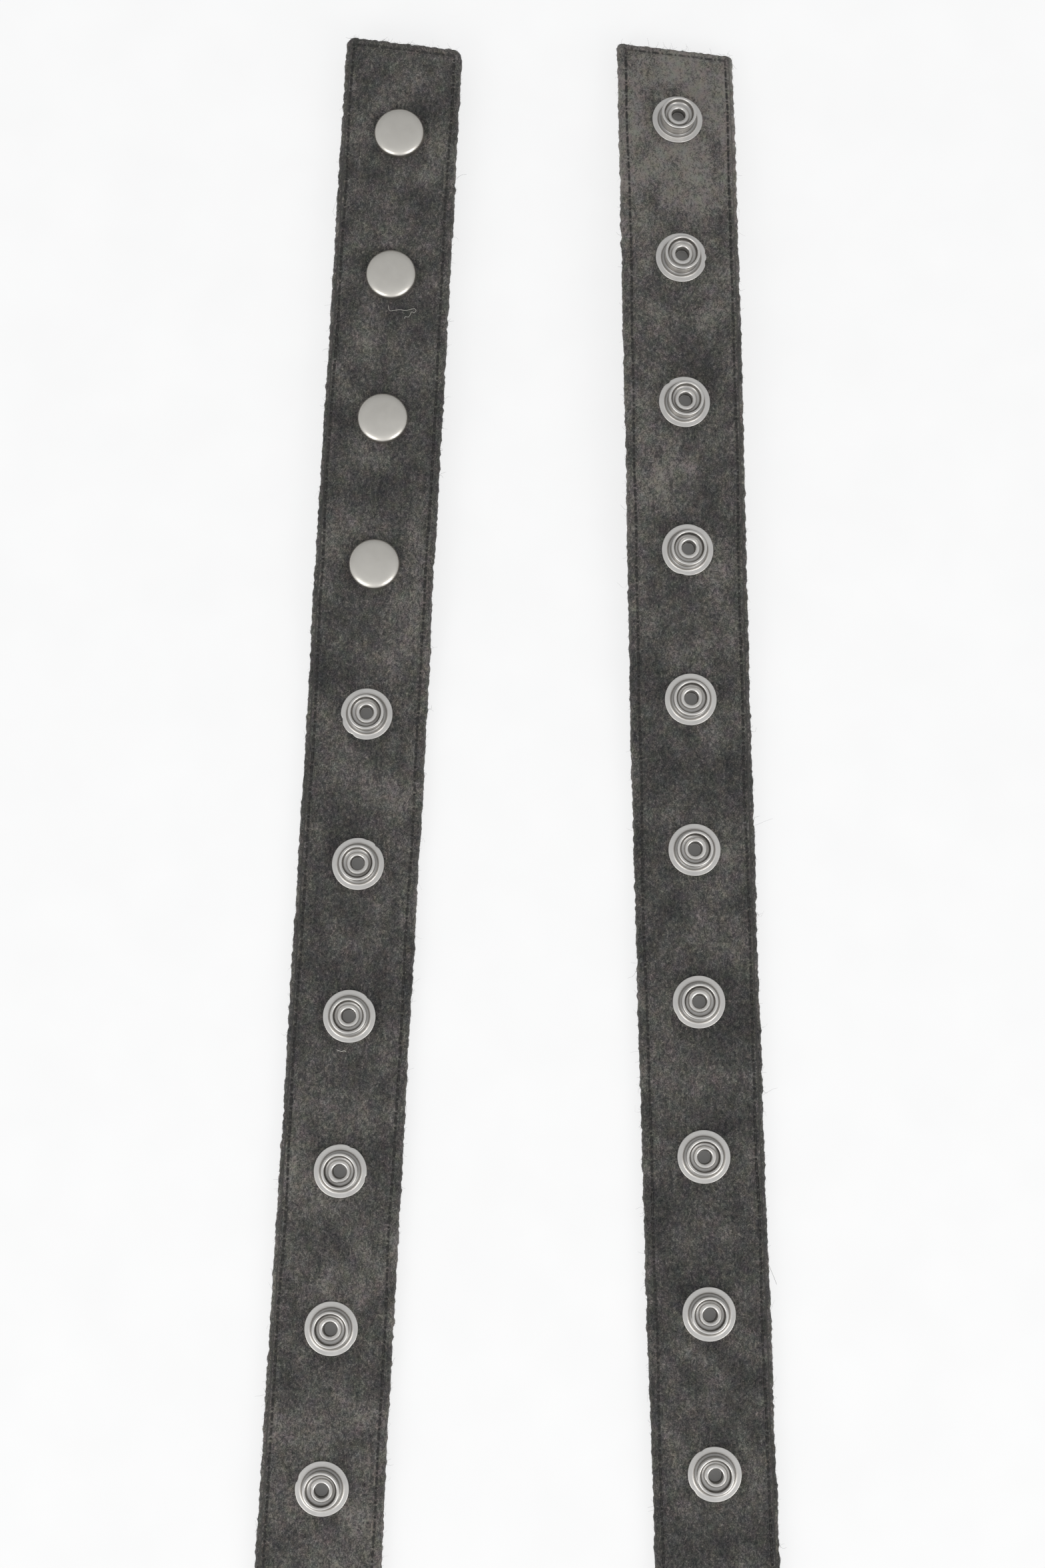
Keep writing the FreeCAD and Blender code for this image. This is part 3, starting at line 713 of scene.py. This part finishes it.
def tubes(lines, radii, sides, swell=0.0):
    """Closed tubes round many lines at once: lines is tubes x points x 3, radii is tubes x points."""
    count, rings = lines.shape[:2]
    forward = np.gradient(lines, axis=1)
    forward /= np.maximum(np.linalg.norm(forward, axis=-1, keepdims=True), 1e-9)
    helper = np.where(np.abs(forward[..., 2:3]) > 0.9, [[[1.0, 0, 0]]], [[[0, 0, 1.0]]])
    right = np.cross(forward, helper)
    right /= np.linalg.norm(right, axis=-1, keepdims=True)
    over = np.cross(right, forward)
    angles = np.linspace(0, math.tau, sides, endpoint=False)[None, None]
    reach = radii[..., None] * (1 + swell)
    ring = (
        lines[:, :, None]
        + right[:, :, None] * (reach * np.cos(angles))[..., None]
        + over[:, :, None] * (reach * np.sin(angles))[..., None]
    )
    base = (np.arange(count) * rings * sides)[:, None, None]
    corner = np.arange(sides)
    near = base + (np.arange(rings - 1) * sides)[None, :, None] + corner
    following = near + np.where(corner == sides - 1, 1 - sides, 1)
    walls = np.stack([near, following, following + sides, near + sides], -1).reshape(-1, 4)
    start = base[:, :, 0] + corner[::-1]
    stop = base[:, :, 0] + (rings - 1) * sides + corner
    return ring.reshape(-1, 3), [*walls.tolist(), *start.tolist(), *stop.tolist()]


def stitch_rows():
    """Each stitch's places along and across the strap: both long rows, then the row across each end."""
    share = np.linspace(0, 1, STITCH_RINGS)[None]
    reach = (STITCH_PITCH - STITCH_GAP) / 2

    def row(first, last):
        return (np.arange(first, last) + 0.5)[:, None] * STITCH_PITCH + (share * 2 - 1) * reach

    first, last = (place / STITCH_PITCH for place in (STITCH_INSET, LENGTH - STITCH_INSET))
    along = row(math.ceil(first), math.floor(last))
    rows = [(along, row_offset(along, side)) for side in (1, -1)]
    half = math.floor(ROW_RADIUS / STITCH_PITCH)
    across = row(-half, half)
    rows += [(np.full_like(across, place), across) for place in (STITCH_INSET, LENGTH - STITCH_INSET)]
    return np.concatenate(rows, 1)


def stitching(fold, number, material):
    """The stitches of one length of felt on both of its sides, each lying in its pucker."""
    along, across = stitch_rows()
    low, high = PIECE_BOUNDS[number], PIECE_BOUNDS[number + 1]
    middle = along[:, STITCH_RINGS // 2]
    chosen = (middle >= low) & (middle < high)
    along, across = along[chosen], across[chosen]
    share = np.linspace(-1, 1, STITCH_RINGS)[None]
    wobble = np.random.default_rng(40 + number).normal(0, STITCH_WOBBLE, (len(along), 1))
    radii = STITCH_RADIUS * np.sqrt(np.maximum(1 - 0.75 * share**4, 0)) * np.ones_like(along)
    rise = HALF_THICKNESS - STITCH_SUNK - STITCH_DIVE * np.abs(share) ** 3
    angles = np.linspace(0, math.tau, STITCH_SIDES, endpoint=False)[None, None]
    strands = STRAND_SWELL * np.cos(2 * angles + STRAND_TURNS * share[..., None])
    parts, places = [], []
    for side in (1, -1):
        lines = strap_point(skewed(along, across), across + wobble, side * rise)
        parts.append(tubes(lines, radii, STITCH_SIDES, strands))
        flat = np.stack([along, across + BACK_SHIFT * side, np.zeros_like(along)], -1)
        places.append(np.repeat(flat[:, :, None], STITCH_SIDES, 2).reshape(-1, 3))
    ends = np.tile(np.repeat(np.abs(share[0]), STITCH_SIDES), 2 * len(along))
    attributes = [("strap_place", np.concatenate(places)), ("stitch_end", ends)]
    return make_mesh(f"stitches_{fold}", *joined(parts), material, attributes)


# ---- loose fibres ----

FIBRES_PER_MM = 40
EDGE_SHARE = 0.42
EDGE_SPREAD = 7
END_FIBRES = 500
FIBRE_POINTS = 5
FIBRE_SIDES = 3
FIBRE_RADII = (0.018, 0.042)
STANDING_SHARE = 0.22
STANDING_LENGTHS = (0.3, 0.9)
LYING_SHAPE, LYING_SCALE = 3.0, 0.45
LONGEST_ON_EDGE = 1.0
STANDING_RISE = (0.25, 0.9)
LYING_RISE = (0.02, 0.1)
TURN_SPREAD, BEND_SPREAD, KINK_SPREAD = 0.9, 0.45, 0.12
FLOOR_CLEARANCE = 0.05
SNAP_MARGIN = 0.6


def fibres(fold, number, skin_parts, material):
    """Short wool hairs over one length of felt, most of them lying flat, and more along its edges."""
    random = np.random.default_rng(70 + number)
    low, high = skin_parts["bounds"][number], skin_parts["bounds"][number + 1]
    count = int(FIBRES_PER_MM * (PIECE_BOUNDS[number + 1] - PIECE_BOUNDS[number]))
    row = random.uniform(low, high, count)
    column = random.uniform(0, COLUMNS, count)
    by_edge = random.random(count) < EDGE_SHARE
    wall = (FACE_COLUMNS + HALF_COLUMNS) / 2 + random.normal(0, EDGE_SPREAD, count)
    column = np.where(by_edge, (wall + HALF_COLUMNS * random.integers(0, 2, count)) % COLUMNS, column)
    end_starts = {0: 0, len(FOLDS) - 1: high - END_STEPS}
    if number in end_starts:
        start = end_starts[number]
        row = np.concatenate([row, random.uniform(start, start + END_STEPS - 1, END_FIBRES)])
        column = np.concatenate([column, random.uniform(0, COLUMNS, END_FIBRES)])
    r0 = np.minimum(row.astype(int), high - 1)
    c0 = column.astype(int) % COLUMNS
    shares = (row - r0)[:, None], (column - np.floor(column))[:, None]
    root, normal, stitch_place = (
        between(skin_parts[label], (r0, r0 + 1), (c0, (c0 + 1) % COLUMNS), shares)
        for label in ("points", "normals", "stitch_place")
    )
    normal /= np.linalg.norm(normal, axis=1, keepdims=True)
    clear = stitch_place[:, 2] > FLANGE_REACH + SNAP_MARGIN
    root, normal = root[clear], normal[clear]
    r0, c0 = r0[clear], c0[clear]
    place = skin_parts["strap_place"][r0, c0]
    count = len(root)
    lengthwise = skin_parts["points"][r0 + 1, c0] - skin_parts["points"][r0, c0]
    lengthwise /= np.linalg.norm(lengthwise, axis=1, keepdims=True)
    sideways = np.cross(normal, lengthwise)
    turn = random.normal(0, TURN_SPREAD, count)[:, None] + math.pi * random.integers(0, 2, count)[:, None]
    lie = lengthwise * np.cos(turn) + sideways * np.sin(turn)
    beside = np.cross(normal, lie)
    each = (count, 1)
    standing = random.random(each) < STANDING_SHARE
    short, long = random.uniform(*STANDING_LENGTHS, each), random.gamma(LYING_SHAPE, LYING_SCALE, each)
    length = np.where(standing, short, long)
    on_edge = np.abs(column[clear] % HALF_COLUMNS - FACE_COLUMNS) < EDGE_ARC_STEPS + EDGE_WALL_STEPS
    length = np.where(on_edge[:, None], np.minimum(length, LONGEST_ON_EDGE), length)
    stand = np.where(standing, random.uniform(*STANDING_RISE, each), random.uniform(*LYING_RISE, each))
    bend, kink = random.normal(0, BEND_SPREAD, each), random.normal(0, KINK_SPREAD, each)
    share = np.linspace(0, 1, FIBRE_POINTS)[None, :, None]
    lines = (
        root[:, None]
        + (length * lie)[:, None] * share
        + (length * bend * beside)[:, None] * share**2
        + (length * kink * beside)[:, None] * np.sin(share * 7)
        + (length * stand * normal)[:, None] * share * (1.3 - 0.6 * share)
        + (0.03 * normal)[:, None] * np.sin(math.pi * share)
    )
    lines[..., 2] = np.maximum(lines[..., 2], FLOOR_CLEARANCE)
    thick = random.uniform(*FIBRE_RADII, each) * (1.1 - 0.6 * share[..., 0])
    points, faces = tubes(lines, thick, FIBRE_SIDES)
    tone = np.clip(random.beta(1.6, 3.2, count) * 1.05, 0, 1)
    repeats = FIBRE_POINTS * FIBRE_SIDES
    attributes = [("tone", np.repeat(tone, repeats)), ("strap_place", np.repeat(place, repeats, 0))]
    return make_mesh(f"fibres_{fold}", points, faces, material, attributes)


STRAY_STEPS = 10
STRAY_SIDES = 6
SMOOTHING = np.hanning(13)[1:-1]


def stray_line(name, snap, points, radius, body, material):
    """A stray thread lying on the face: points are (beyond the snap, across, above the felt)."""
    curve = np.array(points, float)
    fine = np.linspace(0, len(curve) - 1, STRAY_STEPS * len(curve))
    knots = np.arange(len(curve))
    smooth = [np.interp(fine, knots, curve[:, axis]) for axis in range(3)]
    window, reach = SMOOTHING / SMOOTHING.sum(), len(SMOOTHING) // 2
    smooth = [np.convolve(np.pad(values, reach, "edge"), window, "valid") for values in smooth]
    line = strap_point(snap_place(snap) + smooth[0], smooth[1], HALF_THICKNESS + smooth[2])[None]
    radii = np.full(line.shape[:2], radius)
    radii[:, 0] = radii[:, -1] = radius / 2
    mesh_points, faces = tubes(line, radii, STRAY_SIDES)
    place = mesh_points - mesh_points.mean(0)
    piece = make_mesh(name, mesh_points, faces, material, [("strap_place", place)])
    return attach(piece, body)


# ---- snaps, turned about their axis: heights are over the strap's middle ----

TURNS = 72
FACE = 1.6
BACK = -FACE
SHEET = 0.5
FLANGE_TOP = FACE + SHEET
STUD_TOP = FLANGE_TOP + 4.3
BOWL_FLOOR = STUD_TOP - 2
CROWN = HALF_THICKNESS + 2.7
SOCKET_MOUTH = -HALF_THICKNESS - SOCKET_DEPTH
SOCKET_BASE = BACK - SHEET
POST_BOTTOM = -HALF_THICKNESS - POST_PROUD
BORE = 1.95
BARREL = 2.55
HEAD_RADIUS = 5.25
FLANGE_RADIUS = 7.6
CAP_RADIUS = 7.5
SOCKET_RADIUS = 6.9
MOUTH_RADIUS = 5.4


def rounded(corners, steps=5):
    """An outline with its corners rounded: each corner is (radius, height, size of the rounding)."""
    points = []
    for index, (radius, height, size) in enumerate(corners):
        here = np.array([radius, height])
        if not size:
            points.append(here)
            continue
        before = np.array(corners[index - 1][:2]) - here
        after = np.array(corners[(index + 1) % len(corners)][:2]) - here
        start = here + before * min(0.48, size / np.hypot(*before))
        stop = here + after * min(0.48, size / np.hypot(*after))
        for share in np.linspace(0, 1, steps):
            points.append(start * (1 - share) ** 2 + here * 2 * share * (1 - share) + stop * share**2)
    return np.array(points)


def turned(outline, shape=None):
    """Points and faces of an outline turned once round. shape changes (radius, height, angle) as it turns.

    An outline that starts on the axis ends on it too, and is closed there by a fan to one point.
    """
    on_axis = outline[0, 0] == 0
    rings = outline[1:-1] if on_axis else outline
    angles = np.linspace(0, math.tau, TURNS, endpoint=False)[None]
    radius, height = (np.repeat(rings[:, axis : axis + 1], TURNS, 1) for axis in (0, 1))
    if shape is not None:
        radius, height = shape(radius, height, np.repeat(angles, len(rings), 0))
    points = np.stack([radius * np.cos(angles), radius * np.sin(angles), height], -1).reshape(-1, 3)
    row, column = np.meshgrid(np.arange(len(rings) - on_axis), np.arange(TURNS), indexing="ij")
    following = (column + 1) % TURNS
    lower, upper = row * TURNS, (row + 1) % len(rings) * TURNS
    corners = [lower + column, lower + following, upper + following, upper + column]
    faces = np.stack(corners, -1).reshape(-1, 4).tolist()
    if on_axis:
        poles = [[0.0, 0.0, outline[end, 1]] for end in (0, -1)]
        first, last = len(points), (len(rings) - 1) * TURNS
        for corner in range(TURNS):
            beside = (corner + 1) % TURNS
            faces += [[first, beside, corner], [first + 1, last + corner, last + beside]]
        points = np.concatenate([points, poles])
    return points, faces


STUD_OUTLINE = rounded([
    (2.65, BOWL_FLOOR - 0.4, 0),
    (3.5, BOWL_FLOOR - 0.4, 0.3),
    (4.4, BOWL_FLOOR + 0.3, 0.3),
    (4.4, FACE + 0.8, 0.4),
    (5.1, FACE, 0.3),
    (FLANGE_RADIUS, FACE, 0.15),
    (FLANGE_RADIUS, FLANGE_TOP, 0.24),
    (6.7, FLANGE_TOP, 0.3),
    (6.32, FLANGE_TOP + 0.02, 0.14),
    (6.18, FLANGE_TOP + 0.14, 0.12),
    (5.92, FLANGE_TOP + 0.02, 0.12),
    (5.72, FLANGE_TOP - 0.24, 0.22),
    (5.0, FLANGE_TOP - 0.1, 0.5),
    (4.92, FLANGE_TOP + 1.7, 0.4),
    (HEAD_RADIUS, STUD_TOP - 1.55, 0.3),
    (HEAD_RADIUS, STUD_TOP, 0.5),
    (4.4, STUD_TOP, 0.42),
    (4.3, STUD_TOP - 1.2, 0.5),
    (3.9, BOWL_FLOOR + 0.12, 0.5),
    (2.65, BOWL_FLOOR, 0),
])  # fmt: skip

POST_OUTLINE = rounded([
    (0, POST_BOTTOM, 0),
    (4.5, POST_BOTTOM, 0),
    (7.4, POST_BOTTOM, 0.35),
    (CAP_RADIUS, BACK, 0),
    (BARREL, BACK, 0),
    (BARREL, BOWL_FLOOR + 0.02, 0.1),
    (2.95, BOWL_FLOOR + 0.02, 0.15),
    (3.3, BOWL_FLOOR + 0.1, 0.2),
    (3.22, BOWL_FLOOR + 0.62, 0.4),
    (2.5, BOWL_FLOOR + 0.86, 0.4),
    (BORE, BOWL_FLOOR + 0.45, 0.5),
    (BORE, FACE + 0.9, 0.3),
    (0, FACE + 0.9, 0),
])  # fmt: skip

CAP_CROWN = [(radius, CROWN - 0.5 * (radius / 6) ** 2, 0) for radius in (5.2, 4.2, 3.0, 1.5, 0)]
CAP_OUTLINE = rounded([
    (0, CROWN - 0.75, 0),
    (BORE, CROWN - 0.75, 0.1),
    (BORE, SOCKET_BASE - 0.45, 0.4),
    (3.1, SOCKET_BASE - 0.6, 0.4),
    (3.3, SOCKET_BASE - 0.02, 0.15),
    (BARREL, SOCKET_BASE - 0.02, 0.1),
    (BARREL, FACE + 0.6, 0.3),
    (7.0, FACE + 0.6, 0.3),
    (7.05, FACE, 0.1),
    (CAP_RADIUS, FACE, 0.14),
    (CAP_RADIUS + 0.02, CROWN - 2.2, 0.5),
    (7.32, CROWN - 1.45, 0.45),
    (6.8, CROWN - 0.93, 0.4),
    (6.0, CROWN - 0.56, 0.4),
    *CAP_CROWN,
], 7)  # fmt: skip

SOCKET_OUTLINE = rounded([
    (MOUTH_RADIUS, SOCKET_MOUTH, 0.12),
    (SOCKET_RADIUS, SOCKET_MOUTH, 0.5),
    (SOCKET_RADIUS, BACK, 0.4),
    (2.65, BACK, 0),
    (2.65, SOCKET_BASE, 0),
    (6.4, SOCKET_BASE, 0.3),
    (6.4, SOCKET_MOUTH + SHEET, 0.3),
    (MOUTH_RADIUS, SOCKET_MOUTH + SHEET, 0.12),
])  # fmt: skip


def nicked(random):
    """Small dents in a stud's flange, from the setting tool, as a change of its outline."""
    dents = [
        (random.uniform(0, math.tau), random.uniform(0.05, 0.12), random.uniform(0.1, 0.45))
        for _ in range(random.integers(0, 3))
    ]
    tilt, lean = random.uniform(0, math.tau), random.uniform(0.0, 0.012)

    def shape(radius, height, angle):
        outer = eased((radius - 6.9) / 0.5)
        for place, half_angle, depth in dents:
            away = np.angle(np.exp(1j * (angle - place)))
            dent = depth * outer * np.exp(-((away / half_angle) ** 2))
            radius = radius - dent
            height = height - 0.35 * dent * (height > FLANGE_TOP - 0.3)
        return radius, height + lean * radius * np.cos(angle - tilt) * (radius < 5.6)

    return shape


def curled(random):
    """The rolled end of a post: it spirals, leans and sits a little off its centre."""
    turn, lean_turn = random.uniform(0, math.tau, 2)
    spiral, lean = random.uniform(0.1, 0.32), random.uniform(0.02, 0.07)
    shift = random.uniform(0.0, 0.16)

    def shape(radius, height, angle):
        at_top = eased((height - BOWL_FLOOR + 0.3) / 0.5) * eased((radius - BORE + 0.3) / 0.3)
        share = np.mod(angle - turn, math.tau) / math.tau
        swell = spiral * (share - 0.5) * eased((1 - share) / 0.07) * eased((radius - 2.4) / 0.8)
        radius = radius + at_top * (swell + shift * np.cos(angle - lean_turn))
        return radius, height + at_top * (lean * radius * np.cos(angle - lean_turn) + 0.3 * swell)

    return shape


def bore_painted_shade(radius, height):
    """How much painted shade darkens the metal inside a rolled barrel."""
    inside = (height > POST_BOTTOM + 0.5) * (height < CROWN - 0.5) * (radius < BORE + 0.25)
    return 0.82 * inside * eased((BOWL_FLOOR + 0.4 - height) / 0.7)


def stud_painted_shade(radius, height):
    """How much painted shade darkens a stud's bowl, and the groove round its ring."""
    in_groove = (np.abs(radius - 5.3) < 0.45) * (height > FACE) * eased((FLANGE_TOP + 0.7 - height) / 0.7)
    in_bowl = (np.abs(radius - 3.8) < 0.75) * (height > BOWL_FLOOR - 0.2)
    in_bowl = in_bowl * eased((STUD_TOP - 0.1 - height) / 0.8)
    return np.maximum(0.55 * in_groove, 0.35 * in_bowl)


def snap_piece(name, body, numbers, outline, material, seed, painted_shade_at=bore_painted_shade, shaped=None):
    """One turned piece at each of these snaps, as one piece that rides on their body."""
    parts, grime = [], []
    for number in numbers:
        random = np.random.default_rng(seed + number)
        local, walls = turned(outline, shaped(random) if shaped else None)
        # how much painted shade each point gets, from its place on the turned outline
        grime.append(painted_shade_at(np.hypot(local[:, 0], local[:, 1]), local[:, 2]))
        spin = random.uniform(0, math.tau)
        x = local[:, 0] * math.cos(spin) - local[:, 1] * math.sin(spin)
        y = local[:, 0] * math.sin(spin) + local[:, 1] * math.cos(spin)
        origin, forward, across, up = strap_frame(snap_place(number))
        placed = origin + x[:, None] * forward + y[:, None] * across + local[:, 2:3] * up
        parts.append((placed, walls))
    piece = make_mesh(name, *joined(parts), material, [("grime", np.concatenate(grime))])
    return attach(piece, body)


def add_snaps():
    """Every snap's visible pieces: caps and sockets on the cap end, studs and posts on the rest."""
    plate = metal_material("snap_metal", (0.65, 0.63, 0.605), (0.72, 0.7, 0.67), 0.36)
    pearl = metal_material("cap_metal", (0.64, 0.612, 0.562), (0.69, 0.662, 0.61), 0.34, 0.2)
    wire = metal_material("spring_steel", (0.42, 0.42, 0.43), (0.62, 0.62, 0.63), 0.24)
    for segment, low, high in zip(SEGMENTS, SEGMENT_BOUNDS, SEGMENT_BOUNDS[1:]):
        numbers = [n for n in range(SNAP_COUNT) if low < snap_place(n) < high]
        caps = [n for n in numbers if n < CAP_COUNT]
        studs = [n for n in numbers if n >= CAP_COUNT]
        if caps:
            domes = snap_piece("cap_domes", segment, caps, CAP_OUTLINE, pearl, 300)
            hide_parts("snap_caps")
            cups = snap_piece("socket_cups", segment, caps, SOCKET_OUTLINE, plate, 400)
            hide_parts("snap_sockets")
        if studs:
            name = f"stud_rings_{segment}"
            rings = snap_piece(name, segment, studs, STUD_OUTLINE, plate, 500, stud_painted_shade, nicked)
            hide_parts(f"snap_studs_{segment}")
            name = f"post_rolls_{segment}"
            posts = snap_piece(name, segment, studs, POST_OUTLINE, plate, 600, shaped=curled)
            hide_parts(f"stud_posts_{segment}")
    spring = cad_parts["socket_ring_springs"]
    spring.data.materials.clear()
    spring.data.materials.append(wire)
    for polygon in spring.data.polygons:
        polygon.use_smooth = True


# ---- the strap ----


def bend_at(piece, number):
    """Bakes the piece's placement into its mesh, and gives the names of the segments before and after its
    fold.
    """
    before, after = SEGMENTS[number], SEGMENTS[number + 1]
    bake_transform(piece)
    return before, after


def add_strap(thread):
    skin_parts = skin()
    felt, fibre = felt_material(), fibre_material()
    for number, fold in enumerate(FOLDS):
        cloth = felt_piece(fold, number, skin_parts, felt)
        rows = stitching(fold, number, thread)
        fuzz = fibres(fold, number, skin_parts, fibre)
        for piece, slot in ((cloth, "wool_felt"), (rows, "sewing_thread"), (fuzz, "wool_felt")):
            before, after = bend_at(piece, number)
        covered = [before, after] if after == SEGMENTS[-1] else [before]
        for segment in covered:
            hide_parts(f"felt_face_{segment}", f"felt_back_{segment}")
            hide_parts(f"needle_thread_{segment}", f"bobbin_thread_{segment}")


def add_lint(thread):
    """A curl and a fleck of cotton on the face, and a hair that sticks out past the right arm's edge."""
    cotton = lint_material()
    curl = [
        (9.2, -0.4, 0.25), (10.2, -0.2, 0.25), (11.2, 0.2, 0.25), (10.9, 1.4, 0.3), (10.6, 3.2, 0.3),
        (10.8, 5.0, 0.3), (10.4, 6.4, 0.3), (10.0, 7.5, 0.35), (10.7, 8.1, 0.4), (11.5, 7.5, 0.35),
        (11.0, 6.7, 0.3), (11.9, 6.4, 0.25), (12.8, 5.9, 0.25), (12.6, 4.9, 0.25), (13.3, 4.6, 0.25),
    ]  # fmt: skip
    stray_line("lint_curl", 1, curl, 0.07, "left_tip", cotton)
    fleck = [(9.6, -3.4, 0.1), (9.9, -2.6, 0.2), (10.2, -1.6, 0.15), (9.8, -0.8, 0.1), (10.3, -0.2, 0.1)]
    stray_line("lint_fleck", 6, fleck, 0.09, "left_mid", cotton)
    hair = [
        (15.6, -16.0, 0.05), (13.8, -17.2, -0.2), (11.8, -18.0, -0.8),
        (9.6, -18.9, -1.5), (7.4, -19.7, -2.2),
    ]  # fmt: skip
    stray_line("stray_hair", 20, hair, 0.035, "right_base", thread)


# ---- the table, the lights and the camera ----

TABLE_SIZE = 12
TABLE_DROP = 0.1
TABLE_GLOW = 0.745
ZENITH_RANGE = (0.1, 0.8, 0.66, 0.7)
FAR_SIDE_DIMMING = -0.22
SOFTBOX_ENERGY = 6.5
SOFTBOX_SIZE = 0.8
SOFTBOXES = {"softbox_left": (-1.0, -1.0, 0.85), "softbox_right": (1.0, -1.0, 0.85)}


def add_stage():
    """A white, evenly lit table, soft light from both sides below the picture, and a dimmer far side."""
    bpy.ops.mesh.primitive_plane_add(size=TABLE_SIZE, location=(0, 0, -TABLE_DROP * MM))
    table = bpy.context.object
    table.name = "table"
    nodes = material_nodes("table_white")
    grain = nodes.noise(nodes.make("TexCoord", output="Object"), 40.0, 2.0)
    color = nodes.ramp(grain, [(0.3, (0.22, 0.22, 0.22)), (0.7, (0.24, 0.24, 0.24))])
    table.data.materials.append(nodes.surface(
        Base_Color=color, Roughness=0.9, Emission_Color=(1, 1, 1, 1), Emission_Strength=TABLE_GLOW
    ))

    world = bpy.data.worlds.new("studio")
    bpy.context.scene.world = world
    nodes = Nodes(world, "Background")
    sky = nodes.make("SeparateXYZ", {0: nodes.make("TexCoord", output="Generated")}).node.outputs
    glow = nodes.math("MULTIPLY_ADD", sky[1], FAR_SIDE_DIMMING, nodes.ranged(sky[2], *ZENITH_RANGE))
    nodes.surface(Color=(0.97, 0.985, 1.0, 1), Strength=glow)

    for name, place in SOFTBOXES.items():
        lamp = bpy.data.lights.new(name, "AREA")
        lamp.energy, lamp.size = SOFTBOX_ENERGY, SOFTBOX_SIZE
        lamp.color = (1.0, 0.985, 0.96)
        light = bpy.data.objects.new(name, lamp)
        light.location = place
        light.rotation_euler = (-Vector(place)).to_track_quat("-Z", "Y").to_euler()
        bpy.context.scene.collection.objects.link(light)


def add_camera():
    bpy.context.scene.view_settings.view_transform = "Standard"
    camera = bpy.data.cameras.new("camera")
    camera.lens = FOCAL_LENGTH
    camera.sensor_width = SENSOR_LONG_SIDE
    camera.clip_start = CLIP_START * MM
    eye = bpy.data.objects.new("camera", camera)
    eye.location = Vector(CAMERA_PLACE) * MM
    aim = Vector(CAMERA_TARGET) * MM - eye.location
    eye.rotation_euler = aim.to_track_quat("-Z", "Y").to_euler()
    bpy.context.scene.collection.objects.link(eye)
    bpy.context.scene.camera = eye


add_camera()
add_stage()
sewing_thread = thread_material()
add_strap(sewing_thread)
add_snaps()
add_lint(sewing_thread)
